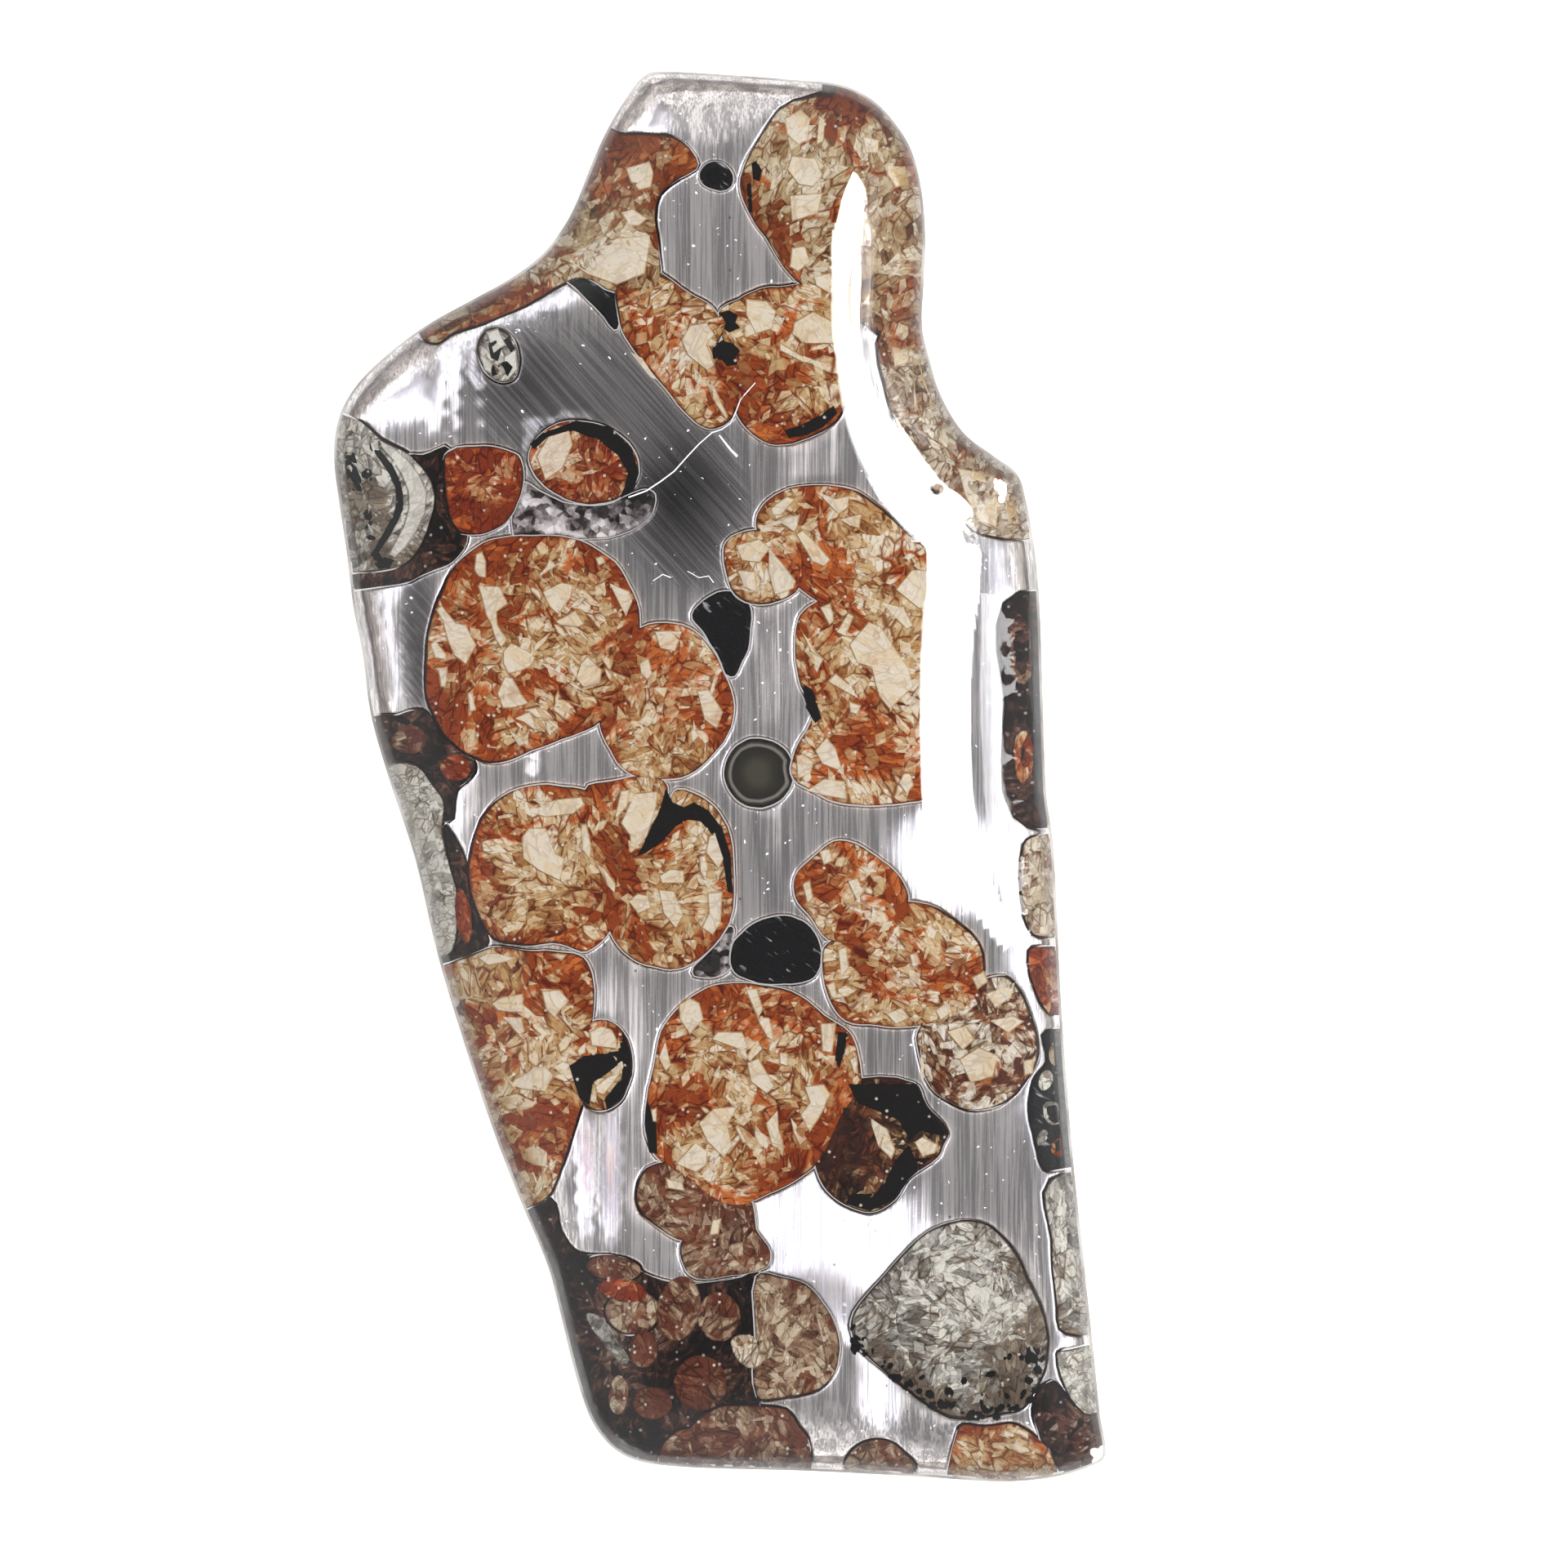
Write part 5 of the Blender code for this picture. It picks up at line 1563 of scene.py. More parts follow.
def oxide_material():
    """Dark cracked rust with brown and pale places."""
    material, n, shader = blank_material("rust_mass")
    shift, cracks, rust, sparkle, height = pattern(n, crack_pattern(), 0.00024, 0.5)
    broad = n.noise(n.place(), 420.0, 4.0, 0.6)
    tone = n.math("ADD", broad, n.times(shift, 0.8))
    colour = n.ramp(
        tone, (0.28, (0.003, 0.002, 0.002)), (0.44, (0.012, 0.006, 0.005)), (0.55, (0.045, 0.019, 0.015)),
        (0.68, (0.12, 0.052, 0.032)), (0.85, (0.34, 0.27, 0.23)),
    )
    colour = n.mixed(n.times(sparkle, 0.7), colour, (0.55, 0.50, 0.50))
    colour = n.mixed(n.times(cracks, 0.5), colour, (0.008, 0.006, 0.006))
    n.tree.links.new(colour, shader["Base Color"])
    n.tree.links.new(n.between(broad, 0.3, 0.7, 0.25, 0.6), shader["Roughness"])
    shader["Specular IOR Level"].default_value = 0.08
    n.tree.links.new(n.bumped(n.math("ADD", height, broad), 0.5, 0.00006), shader["Normal"])
    return material


def granular_material():
    """Small metal grains in dark filling."""
    material, n, shader = blank_material("granular_metal")
    facets = n.chances(n.cells(n.place(), 4200.0))
    broad = n.noise(n.place(), 800.0, 4.0, 0.6)
    tone = n.math("MULTIPLY_ADD", facets[0], 0.42, n.times(n.between(broad, 0.3, 0.7), 0.62))
    colour = n.ramp(
        tone, (0.38, (0.02, 0.015, 0.016)), (0.56, (0.22, 0.19, 0.19)), (0.86, (0.86, 0.82, 0.84)),
    )
    n.tree.links.new(colour, shader["Base Color"])
    n.tree.links.new(n.between(facets[1], 0.0, 1.0, 0.0, 0.8), shader["Metallic"])
    shader["Roughness"].default_value = 0.38
    n.tree.links.new(n.bumped(facets[2], 0.8, 0.00008), shader["Normal"])
    return material


def dust_material():
    """Dust and hairs, made the first time they are asked for."""
    if "dust" in bpy.data.materials:
        return bpy.data.materials["dust"]
    material, n, shader = blank_material("dust")
    shade = n.noise(n.place(), 4000.0, 2.0)
    n.tree.links.new(n.mixed(shade, (0.45, 0.44, 0.46), (0.85, 0.85, 0.86)), shader["Base Color"])
    shader["Roughness"].default_value = 0.6
    return material


def floor_material():
    """A nearly white floor that glows a little, as an overexposed one does."""
    material, n, shader = blank_material("floor")
    shade = n.noise(n.place(), 30.0, 3.0)
    n.tree.links.new(n.mixed(shade, (0.86, 0.86, 0.86), (0.89, 0.89, 0.89)), shader["Base Color"])
    shader["Roughness"].default_value = 0.7
    shader["Emission Color"].default_value = (1.0, 1.0, 1.0, 1.0)
    shader["Emission Strength"].default_value = 0.5
    return material


def chip_tree():
    """Geometry nodes that scatter thin flat chips over a piece's upward faces and join them to it."""
    name = "scattered chips"
    if name in bpy.data.node_groups:
        return bpy.data.node_groups[name]
    tree = bpy.data.node_groups.new(name, "GeometryNodeTree")
    sockets = (
        ("Geometry", "NodeSocketGeometry"), ("Density", "NodeSocketFloat"), ("Length", "NodeSocketFloat"),
        ("Thickness", "NodeSocketFloat"), ("Lift", "NodeSocketFloat"), ("Tilt", "NodeSocketFloat"),
        ("Tone", "NodeSocketFloat"), ("Spread", "NodeSocketFloat"), ("Kind", "NodeSocketInt"),
        ("Seed", "NodeSocketInt"), ("Finish", "NodeSocketMaterial"),
    )
    for socket, kind in sockets:
        tree.interface.new_socket(name=socket, in_out="INPUT", socket_type=kind)
    tree.interface.new_socket(name="Geometry", in_out="OUTPUT", socket_type="NodeSocketGeometry")
    n = Nodes(tree)
    given = n.add("NodeGroupInput").outputs

    def chance(low, high, step):
        """A random number for each chip."""
        inputs = {2: low, 3: high, "Seed": n.math("ADD", given["Seed"], step)}
        return n.add("FunctionNodeRandomValue", data_type="FLOAT", inputs=inputs).outputs[1]

    def named(attribute):
        kind = "GeometryNodeInputNamedAttribute"
        return n.add(kind, data_type="FLOAT", inputs={"Name": attribute}).outputs["Attribute"]

    def stored(geometry, attribute, value):
        inputs = {"Geometry": geometry, "Name": attribute, "Value": value}
        kind = "GeometryNodeStoreNamedAttribute"
        return n.add(kind, data_type="FLOAT", domain="POINT", inputs=inputs).outputs["Geometry"]

    upward = n.add("ShaderNodeSeparateXYZ", n.add("GeometryNodeInputNormal").outputs[0]).outputs[2]
    bare = n.math("LESS_THAN", named("clear"), 0.5)
    kind = n.math("COMPARE", n.add("GeometryNodeInputMaterialIndex").outputs[0], given["Kind"], 0.1)
    chosen = n.times(n.times(n.math("GREATER_THAN", upward, 0.75), bare), kind)
    points = n.add("GeometryNodeDistributePointsOnFaces", distribute_method="RANDOM", inputs={
        "Mesh": given["Geometry"], "Selection": chosen, "Density": given["Density"], "Seed": given["Seed"],
    }).outputs["Points"]
    lift = n.add("ShaderNodeCombineXYZ", 0.0, 0.0, n.times(chance(0.0, 1.0, 1), given["Lift"])).outputs[0]
    points = n.add("GeometryNodeSetPosition", inputs={"Geometry": points, "Offset": lift}).outputs[0]
    tone = n.math("ADD", n.times(chance(-1.0, 1.0, 2), given["Spread"]), given["Tone"])
    points = stored(points, "tone", n.math("ADD", tone, named("tone")))
    points = stored(points, "clear", 0.6)
    room = n.times(named("edge"), 1.7 * MM)
    length = n.math("MINIMUM", n.times(chance(0.25, 1.0, 3), given["Length"]), room)
    width = n.times(length, chance(0.22, 0.75, 4))
    scale = n.add("ShaderNodeCombineXYZ", length, width, given["Thickness"]).outputs[0]
    lean = [n.times(chance(-1.0, 1.0, step), given["Tilt"]) for step in (5, 6)]
    turn = n.add("ShaderNodeCombineXYZ", *lean, chance(0.0, tau, 7)).outputs[0]
    shapes = n.add("GeometryNodeGeometryToInstance")
    for corners in (3, 4, 5):
        chip = n.add("GeometryNodeMeshCone", inputs={
            "Vertices": corners, "Radius Top": 0.38, "Radius Bottom": 0.5, "Depth": 1.0,
        })
        tree.links.new(chip.outputs["Mesh"], shapes.inputs[0])
    points = stored(points, "chip", 1.0)
    chips = n.add("GeometryNodeInstanceOnPoints", inputs={
        "Points": points, "Instance": shapes.outputs[0], "Pick Instance": True, "Rotation": turn,
        "Scale": scale,
    }).outputs[0]
    joined = n.add("GeometryNodeJoinGeometry")
    tree.links.new(chips, joined.inputs[0])
    tree.links.new(given["Geometry"], joined.inputs[0])
    whole = n.add("GeometryNodeRealizeInstances", joined.outputs[0]).outputs[0]
    above, below = n.math("GREATER_THAN", named("chip"), 0.5), n.math("LESS_THAN", named("chip"), 1.5)
    on_chip = n.times(above, below)
    inputs = {"Geometry": whole, "Selection": on_chip, "Shade Smooth": False}
    whole = n.add("GeometryNodeSetShadeSmooth", domain="FACE", inputs=inputs).outputs[0]
    inputs = {"Geometry": whole, "Selection": on_chip, "Material": given["Finish"]}
    whole = n.add("GeometryNodeSetMaterial", inputs=inputs).outputs[0]
    n.add("NodeGroupOutput", stored(whole, "chip", n.times(named("chip"), 2.0)))
    return tree


def scatter(piece, **values):
    """Adds chips to a piece and makes the result its mesh."""
    tree = chip_tree()
    chips = piece.modifiers.new("chips", "NODES")
    chips.node_group = tree
    for socket in tree.interface.items_tree:
        if socket.in_out == "INPUT" and socket.name.lower() in values:
            chips[socket.identifier] = values[socket.name.lower()]
    shaped = piece.evaluated_get(bpy.context.evaluated_depsgraph_get())
    mesh = bpy.data.meshes.new_from_object(shaped)
    piece.modifiers.clear()
    old = piece.data
    piece.data = mesh
    bpy.data.meshes.remove(old)
    mesh.name = piece.name


def rustiness(name, points):
    """How rusty each point of a crystal is, from 0 for clear to 1."""
    x, y = (points / METRES_PER_PIXEL).T
    x, y = x + (PHOTO_LEFT + PHOTO_RIGHT) / 2, (PHOTO_TOP + PHOTO_BOTTOM) / 2 - y
    rust = np.full(len(points), RUST[name])
    for spot_x, spot_y, radius, change in SPOTS:
        rust += change * np.exp(-((x - spot_x) ** 2 + (y - spot_y) ** 2) / radius**2)
    return rust + np.array([0.14 * noise.noise(Vector((px / 1.1, py / 1.1, 0)) / MM) for px, py in points])


def crystal(name):
    """A piece of olivine: one crystal, or several that grew together."""
    settings = bpy.context.scene.pallasite_slice
    loops = [shifted(rounded(pixels), SEAM) for pixels in CRYSTALS[name]]
    rims = [shifted(loop, depth * MM) for loop in loops for depth in (0.05, 0.12)]
    spots = np.concatenate([grid(loop, 0.22 * MM) for loop in loops])
    spots = spots[inside_any(spots, loops) & (distances(spots, loops + rims, MM) > 0.07 * MM)]
    crosses = any((~inside(loop, SLICE_EDGE)).any() for loop in loops)
    flat, triangles = region(
        loops + rims + [SLICE_EDGE] * crosses, spots,
        lambda middles: inside_any(middles, loops) & inside(middles, SLICE_EDGE),
    )
    depth = distances(flat, outer_sides(loops), MM)
    contact = np.full(len(flat), MM)
    for i, loop in enumerate(loops):
        own = ~inside_any(flat, loops[:i]) if i else np.ones(len(flat), bool)
        contact[own] = np.minimum(contact[own], distances(flat[own], [loop], MM))
    kinds = KINDS.get(name, ("amber",) * len(loops))
    kinds = kinds if len(kinds) == len(loops) else kinds + kinds[-1:] * (len(loops) - len(kinds))
    finishes = sorted(set(kinds))
    middles = flat[triangles].mean(1)
    owner = np.zeros(len(triangles), int)
    for kind, loop in reversed(list(zip(kinds, loops))):
        owner[inside(middles, loop)] = finishes.index(kind)
    shape = Shape(tone=1, edge=1, clear=1)
    top = slice_top(flat) - 0.03 * MM * np.clip(1 - depth / (0.08 * MM), 0, 1) ** 2
    tone = rustiness(name, flat) + 0.07 * np.exp(-depth / (0.2 * MM))
    tone += 0.12 * np.exp(-contact / (0.12 * MM))
    shape.raised(flat, triangles, top, slice_back(flat), owner, tone=tone, edge=depth / MM, clear=tone * 0)
    chance = Random(sum(map(ord, name)))
    plates = [(pixels, 0.02, 0.06) for pixels in WINDOWS.get(name, ())]
    plates += [(pixels, 1.6, 0.05) for pixels in DARKS_AND_PAINTED_SHADOWS.get(name, ())]
    for pixels, tone, lift in plates:
        kind = finishes.index("amber") if "amber" in finishes else 0
        shape.plate(
            anticlockwise(to_metres(pixels)), (lift + chance.uniform(-0.004, 0.004)) * MM, kind,
            tone=tone + chance.uniform(0, 0.06), edge=1.0, clear=0.72 if tone < 1 else 1.0,
        )
    piece = shape.made(name, [olivine(kind) for kind in finishes])
    for i, kind in enumerate(finishes):
        scatter(
            piece, density=settings.flake_density, length=settings.flake_length,
            thickness=CHIP_THICKNESS, lift=0.035 * MM, tilt=0.06, tone=-0.16, spread=0.26, kind=i,
            seed=settings.seed + i, finish=olivine(kind),
        )
    return piece


def mass(name, outlines, taken, material, bump, crystals=()):
    """A grain, rust mass or granular patch: its outlines without what the pieces made before it take.

    Crystals are small ones that lie in it: an outline, a tone and a kind of olivine.
    """
    loops = [shifted(rounded(pixels), SEAM) for pixels in outlines]
    holes = [loop for loop in taken if inside_any(loop, loops).any() or inside_any(loops[0], [loop]).any()]
    rims = [shifted(loop, depth * MM) for loop in loops for depth in (0.06, 0.16)]
    spots = np.concatenate([grid(loop, 0.18 * MM) for loop in loops])
    spots = spots[inside_any(spots, loops)]

    def wanted(middles):
        return inside_any(middles, loops) & inside(middles, SLICE_EDGE) & ~inside_any(middles, holes)

    flat, triangles = region(loops + rims + holes + [SLICE_EDGE], spots, wanted)
    depth = distances(flat, loops + holes, MM)
    rough = np.array([noise.fractal(Vector((x, y, 0.0)) / (0.35 * MM), 0.7, 2.1, 4) for x, y in flat])
    top = slice_top(flat) - 0.08 * MM * np.clip(1 - depth / (0.15 * MM), 0, 1) ** 2 + bump * rough
    shape = Shape(edge=1, tone=1, clear=1)
    shape.raised(flat, triangles, top, slice_back(flat), edge=depth / MM, tone=rough * 0.2, clear=rough * 0)
    kinds = sorted({kind for _, _, kind in crystals})
    for pixels, tone, kind in crystals:
        shape.plate(rounded(pixels), 0.05 * MM, kinds.index(kind) + 1, tone=tone, edge=1.0, clear=0.0)
    return shape.made(name, [material] + [olivine(kind) for kind in kinds])


def make_masses(table, taken, slot, finish, bump):
    """Makes each mass of a table, attaches it to the root body and hides its node."""
    for name, outlines in table.items():
        piece = mass(name, outlines, taken, finish(name), bump, SMALL_CRYSTALS.get(name, ()))
        settle(piece, slot, name)


def grown(table):
    """The outlines of a table's pieces, grown by half of the gap between pieces."""
    return [shifted(rounded(pixels), -SEAM) for outlines in table.values() for pixels in outlines]


def ribbon(pixels, width):
    """A narrow strip along a line of pixels, in triangles."""
    line = to_metres(pixels)
    heading = np.gradient(line, axis=0)
    heading /= np.linalg.norm(heading, axis=1, keepdims=True)
    across = np.column_stack((-heading[:, 1], heading[:, 0]))
    taper = np.linspace(0.6, 1.0, len(line))[:, None] * width / 2
    flat = np.concatenate((line + across * taper, line - across * taper))
    count = len(line)
    triangles = [[(i + count, i + 1 + count, i), (i + 1 + count, i + 1, i)] for i in range(count - 1)]
    return flat, np.array(triangles).reshape(-1, 3)


def nearness(flat, middle, reach, fall):
    """How strongly a place in pixels bears on each point, from 1 in its middle to 0 beyond its reach."""
    offset = (flat - to_metres([middle])) / (np.array(reach) * METRES_PER_PIXEL)
    return np.exp(-((offset**2).sum(1) ** fall))


def islands(flat, triangles):
    """The separate areas, as lists of triangles."""
    parent = list(range(len(flat)))

    def root(i):
        while parent[i] != i:
            parent[i] = parent[parent[i]]
            i = parent[i]
        return i

    for a, b, c in triangles.tolist():
        parent[root(a)] = root(b)
        parent[root(b)] = root(c)
    found = {}
    for i, corner in enumerate(triangles[:, 0].tolist()):
        found.setdefault(root(corner), []).append(i)
    return list(found.values())


class MakeResin(Operator):
    """Make the clear resin that seals the slice, one solid piece with a rolled edge"""

    bl_idname = "pallasite.resin"
    bl_label = "Clear resin"

    def execute(self, context):
        settings = context.scene.pallasite_slice
        depths = (0.04, 0.11, 0.19, 0.30, 0.46, 0.66)
        rings = [shifted(EDGE, depth * MM) for depth in depths]
        spots = grid(EDGE, 0.24 * MM)
        spots = spots[inside(spots, EDGE) & (distances(spots, [EDGE], 0.01) > 0.85 * MM)]
        flat, triangles = region([EDGE, *rings], spots, lambda middles: inside(middles, EDGE))
        depth = distances(flat, [EDGE], 0.02)
        shoulder, neck = to_metres([(0, 620), (0, 430)])[:, 1]
        roll = np.interp(flat[:, 1], (shoulder, neck), (settings.resin_roll, settings.neck_roll))
        front = dome(flat, EDGE, RESIN_EDGE_FRONT, RESIN_TOP, roll, 1.3, 0.414)
        back = dome(flat, EDGE, RESIN_EDGE_BACK, 0.0, RESIN_EDGE_BACK)
        sides = np.concatenate((triangles[:, :2], triangles[:, 1:], triangles[:, ::2]))
        count = np.bincount(sides.ravel(), minlength=len(flat))
        free = np.clip((depth / MM - 0.5) / 0.6, 0, 1)
        for _ in range(40):
            around = np.bincount(sides[:, 0], front[sides[:, 1]], len(flat))
            around += np.bincount(sides[:, 1], front[sides[:, 0]], len(flat))
            front += free * 0.6 * (around / count - front)
        outer = distances(flat[triangles].mean(1), [EDGE], 0.02) < 0.10 * MM
        shape = Shape()
        shape.raised(flat, triangles, np.minimum(front, RESIN_TOP), back, outer.astype(int))
        resin = shape.made("clear_resin", [resin_material(), edge_material()], sharp=80)
        resin.visible_shadow = False
        settle(resin, "resin", "clear_coat_front", "clear_coat_back")
        return {"FINISHED"}


class MakeMetal(Operator):
    """Make the polished metal, an object for each island of it, with holes for everything else"""

    bl_idname = "pallasite.metal"
    bl_label = "Polished metal"

    def execute(self, context):
        bevel = context.scene.pallasite_slice.metal_bevel
        holes = [loop for table in (CRYSTALS, GRAINS, OXIDES, PATCHES) for loop in grown(table)]
        rims = [shifted(hole, -depth * bevel) for hole in holes for depth in (0.2, 0.45, 1.0)]
        spots = grid(SLICE_EDGE, 0.42 * MM)
        spots = spots[inside(spots, SLICE_EDGE) & (distances(spots, holes, MM) > 0.3 * MM)]
        rings = [shifted(SLICE_EDGE, depth * MM) for depth in (0.15, 0.4)]

        def wanted(middles):
            return inside(middles, SLICE_EDGE) & ~inside_any(middles, holes)

        flat, triangles = region([SLICE_EDGE, *rings, *holes, *rims], spots, wanted)
        depth = distances(flat, holes, 0.01)
        top = slice_top(flat) - 0.05 * MM * np.clip(1 - depth / bevel, 0, 1) ** 2
        back = slice_back(flat)
        lean = np.zeros((len(flat), 3))
        for middle, reach, tilt in GLARES:
            lean[:, :2] += nearness(flat, middle, reach, 2)[:, None] * tilt
        # Painted reflection shade: lightens or darkens the metal's colour where its polish should mirror
        # bright or dim surroundings
        shade = np.ones(len(flat))
        for middle, reach, change in PAINTED_METAL_SHADES:
            shade += change * nearness(flat, middle, reach, 1.5)
        found = islands(flat, triangles)
        owners = {}
        for name, pixel in METAL.items():
            place = to_metres([pixel])[0]
            gaps = [np.linalg.norm(flat[triangles[part]] - place, axis=2).min() for part in found]
            owners.setdefault(gaps.index(min(gaps)), []).append(name)
        for number, names in owners.items():
            used, corners = np.unique(triangles[found[number]], return_inverse=True)
            shape = Shape(edge=1, lean=3, shade=1)
            for pixels, width in HAIRS if "metal_plate" in names else ():
                strip, parts = ribbon(pixels, width)
                high = slice_top(strip) + HAIR_LIFT
                none = np.zeros(len(strip))
                shape.raised(
                    strip, parts, high, high - HAIR_THICKNESS, [1] * len(parts), edge=none, shade=none,
                    lean=np.zeros((len(strip), 3)),
                )
            shape.raised(
                flat[used], corners.reshape(-1, 3), top[used], back[used], edge=depth[used] / MM,
                lean=lean[used], shade=shade[used],
            )
            metal = shape.made(names[0], [metal_material(), dust_material()], sharp=50)
            scatter(
                metal, density=1.1e6, length=0.17 * MM, thickness=CHIP_THICKNESS, lift=0.01 * MM,
                tilt=0.1, kind=0, seed=number + 3, finish=dust_material(),
            )
            settle(metal, "metal", *names)
        return {"FINISHED"}


class MakeOlivine(Operator):
    """Make the olivine crystals, cracked and rusty, with their clear windows and flakes"""

    bl_idname = "pallasite.olivine"
    bl_label = "Olivine"

    def execute(self, context):
        for name in CRYSTALS:
            piece = crystal(name)
            settle(piece, frame_slot(name), name)
        return {"FINISHED"}


class MakeGrains(Operator):
    """Make the black grains"""

    bl_idname = "pallasite.grains"
    bl_label = "Black grains"

    def execute(self, context):
        def finish(name):
            return bead_material() if name == "black_bead" else black_material()

        make_masses(GRAINS, grown(CRYSTALS), "black_mineral", finish, 0.012 * MM)
        return {"FINISHED"}


class MakeRust(Operator):
    """Make the dark rust masses"""

    bl_idname = "pallasite.rust"
    bl_label = "Rust masses"

    def execute(self, context):
        taken = grown(CRYSTALS) + grown(GRAINS)
        make_masses(OXIDES, taken, "oxide", lambda name: oxide_material(), 0.02 * MM)
        return {"FINISHED"}


class MakeGranular(Operator):
    """Make the patches of granular metal"""

    bl_idname = "pallasite.granular"
    bl_label = "Granular metal"

    def execute(self, context):
        taken = grown(CRYSTALS) + grown(GRAINS) + grown(OXIDES)
        make_masses(PATCHES, taken, "granular", lambda name: granular_material(), 0.03 * MM)
        return {"FINISHED"}


def frame_slot(node):
    """The slot that the frame's record gives a node."""
    return "olivine_pale" if node in PALE else "olivine_amber"


def lamp(name, place, target, size, light):
    """A soft rectangular lamp that faces the target."""
    data = bpy.data.lights.new(name, "AREA")
    data.shape = "RECTANGLE"
    data.size, data.size_y = size
    data.energy = light * size[0] * size[1] * pi
    bulb = bpy.data.objects.new(name, data)
    bulb.location = place
    bulb.rotation_euler = (Vector(target) - Vector(place)).to_track_quat("-Z", "Y").to_euler()
    bulb.visible_transmission = False
    bpy.context.scene.collection.objects.link(bulb)
    return bulb


def mirrored(camera_place, pixels, tree, normals, faces, corners, height):
    """Where the light must be, at this height, for the resin to mirror it to the camera at each pixel."""
    places = []
    start = Vector(camera_place)
    for x, y in to_metres(pixels):
        towards = Vector((x, y, RESIN_TOP)) - start
        spot, _, face, _ = tree.ray_cast(start, towards)
        a, b, c = faces[face][:3]
        weights = barycentric(spot, corners[a], corners[b], corners[c])
        normal = Vector(sum(w * normals[i] for w, i in zip(weights, (a, b, c)))).normalized()
        away = towards.normalized().reflect(normal)
        places.append(spot + away * ((height - spot.z) / away.z))
    return places


def barycentric(point, a, b, c):
    """The weights of a triangle's corners at a point, seen from above."""
    solved = np.linalg.solve(np.array([[*a.xy, 1], [*b.xy, 1], [*c.xy, 1]]).T, (*point.xy, 1))
    return solved.tolist()


def finer(band, step=10):
    """The rows of a band with rows between them, no more than step pixels apart."""
    rows = []
    for row, following in zip(band, band[1:]):
        count = max(1, round(abs(following[0][1] - row[0][1]) / step))
        rows += [np.array(row) * (1 - t) + np.array(following) * t for t in np.arange(count) / count]
    return [*rows, band[-1]]


def window(name, band, resin, camera_place, height, light):
    """A bright pane that the resin mirrors as this band of the photograph. It lights nothing else."""
    mesh = resin.data
    corners = [v.co.copy() for v in mesh.vertices]
    normals = [np.array(v.normal) for v in mesh.vertices]
    faces = [tuple(p.vertices) for p in mesh.polygons]
    tree = BVHTree.FromPolygons(corners, faces)
    rows = []
    for left, right in finer(band):
        along = (Vector(right) - Vector(left)).normalized() * 2
        left, right = Vector(left), Vector(right)
        steps = [left - along, left, (left + right) / 2, right, right + along]
        rows.append(mirrored(camera_place, steps, tree, normals, faces, corners, height))
    points = [p for row in rows for p in row]
    firsts = [len(steps) * i for i in range(len(rows) - 1)]
    for row in rows:
        firsts.append(len(points))
        points += [p + PANE_SPARE for p in row] + [p - PANE_SPARE for p in row]
    around = [(i + j, i + j + 1, i + j + 6, i + j + 5) for i in firsts for j in range(4)]
    pane = bpy.data.meshes.new(name)
    pane.from_pydata(points, [], around)
    material, n, shader = blank_material(name)
    shader["Base Color"].default_value = (0, 0, 0, 1)
    shader["Emission Color"].default_value = (1.0, 1.0, 1.0, 1)
    n.tree.links.new(n.times(n.value_of("glow"), light), shader["Emission Strength"])
    glows = pane.attributes.new("glow", "FLOAT", "POINT").data
    glows.foreach_set("value", [0.0, 1.0, 1.0, 1.0, 0.0] * (3 * len(rows)))
    material.cycles.emission_sampling = "NONE"
    pane.materials.append(material)
    glow = bpy.data.objects.new(name, pane)
    glow.visible_camera = False
    glow.visible_diffuse = False
    glow.visible_transmission = False
    glow.visible_shadow = False
    bpy.context.scene.collection.objects.link(glow)
    return glow


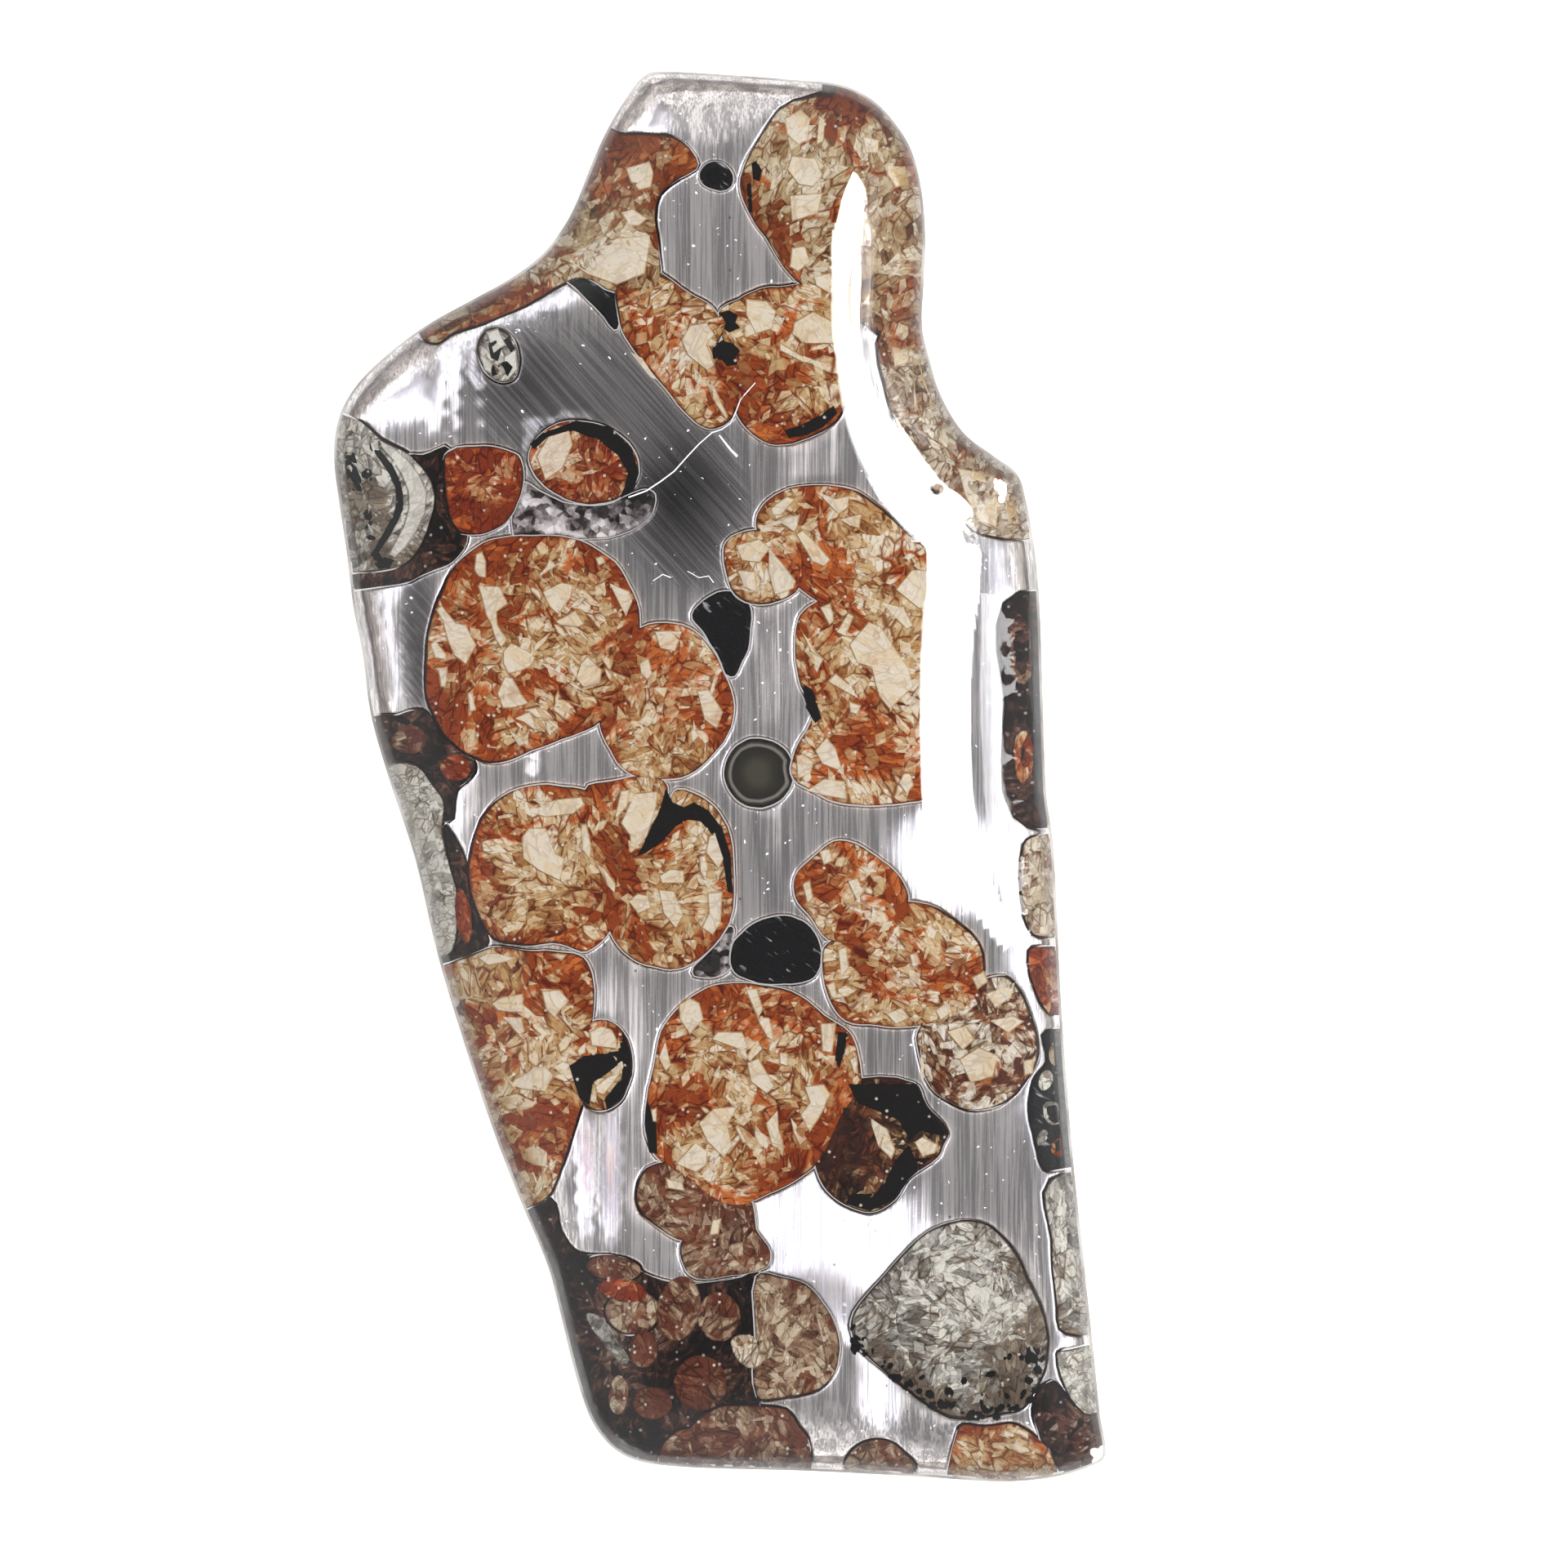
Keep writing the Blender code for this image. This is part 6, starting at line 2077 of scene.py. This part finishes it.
class MakeStage(Operator):
    """Make the floor, the lights and the camera"""

    bl_idname = "pallasite.stage"
    bl_label = "Stage"

    def execute(self, context):
        scene = context.scene
        stage = scene.pallasite_stage
        floor_mesh = bpy.data.meshes.new("floor")
        turns = ((-1, -1), (1, -1), (1, 1), (-1, 1))
        corners = [(x * FLOOR_REACH, y * FLOOR_REACH, FLOOR_HEIGHT) for x, y in turns]
        floor_mesh.from_pydata(corners, [], [(0, 1, 2, 3)])
        floor_mesh.materials.append(floor_material())
        floor = bpy.data.objects.new("floor", floor_mesh)
        scene.collection.objects.link(floor)

        centre = to_metres([(PHOTO_SIZE / 2, PHOTO_SIZE / 2)])[0]
        height = stage.camera_height
        camera_data = bpy.data.cameras.new("camera")
        view_width = PHOTO_SIZE * METRES_PER_PIXEL
        camera_data.lens = camera_data.sensor_width * (height - SCALE_HEIGHT) / view_width
        camera_data.clip_start = 0.01
        camera = bpy.data.objects.new("camera", camera_data)
        camera.location = (*centre, height)
        scene.collection.objects.link(camera)
        scene.camera = camera
        scene.view_settings.view_transform = "Standard"

        resin = bpy.data.objects["clear_resin_polished"]
        for name, band, share in (
            ("window_pane", BRIGHT_BAND, 1), ("window_pane_side", FAINT_BAND, 3),
            ("window_pane_neck", NECK_BAND, 8),
        ):
            light = stage.window_light / share
            window(name, band, resin, camera.location, stage.window_height, light)
        metal_only = bpy.data.collections.new("metal")
        for piece in scene.objects:
            if piece.name.startswith("metal_") and piece.name.endswith("_polished"):
                metal_only.objects.link(piece)
        for name, (place, size, light, wide, glow) in LAMPS.items():
            lamp(f"{name}_lamp", place, (0, 0, 0), size, light).visible_glossy = False
            glare = lamp(f"{name}_glare", place, (0, 0, 0), (wide * size[0], wide * size[1]), glow)
            glare.data.color = GLARE_COLOUR
            glare.light_linking.receiver_collection = metal_only

        world = bpy.data.worlds.new("studio")
        world.use_nodes = True
        scene.world = world
        n = Nodes(world.node_tree)
        up = n.add("ShaderNodeSeparateXYZ", n.add("ShaderNodeTexCoord").outputs["Generated"]).outputs[2]
        light = n.between(up, cos(radians(45)), cos(radians(16)), stage.sky_light, stage.zenith_light)
        n.tree.links.new(light, world.node_tree.nodes["Background"].inputs["Strength"])
        world.node_tree.nodes["Background"].inputs["Color"].default_value = (1.0, 1.0, 1.0, 1.0)
        return {"FINISHED"}


class PallasitePanel(Panel):
    """Lists the pieces of the slice"""

    bl_idname = "VIEW3D_PT_pallasite"
    bl_label = "Pallasite slice"
    bl_space_type = "VIEW_3D"
    bl_region_type = "UI"
    bl_category = "Pallasite"

    def draw(self, context):
        for operator in OPERATORS:
            self.layout.operator(operator.bl_idname)
        for group_name in GROUPS:
            settings = getattr(context.scene, group_name)
            for name in settings.__annotations__:
                self.layout.prop(settings, name)


GROUPS = {
    "pallasite_slice": PallasiteSlice,
    "pallasite_finish": PallasiteFinish,
    "pallasite_stage": PallasiteStage,
}
OPERATORS = (MakeResin, MakeMetal, MakeOlivine, MakeGrains, MakeRust, MakeGranular, MakeStage)


def register():
    for cls in (*GROUPS.values(), *OPERATORS, PallasitePanel):
        bpy.utils.register_class(cls)
    for name, cls in GROUPS.items():
        setattr(bpy.types.Scene, name, PointerProperty(type=cls))


def unregister():
    for name in GROUPS:
        delattr(bpy.types.Scene, name)
    for cls in (PallasitePanel, *reversed(OPERATORS), *reversed(GROUPS.values())):
        bpy.utils.unregister_class(cls)


def main():
    register()
    for operator in OPERATORS:
        getattr(bpy.ops.pallasite, operator.bl_idname.split(".")[1])()


if __name__ == "__main__":
    main()
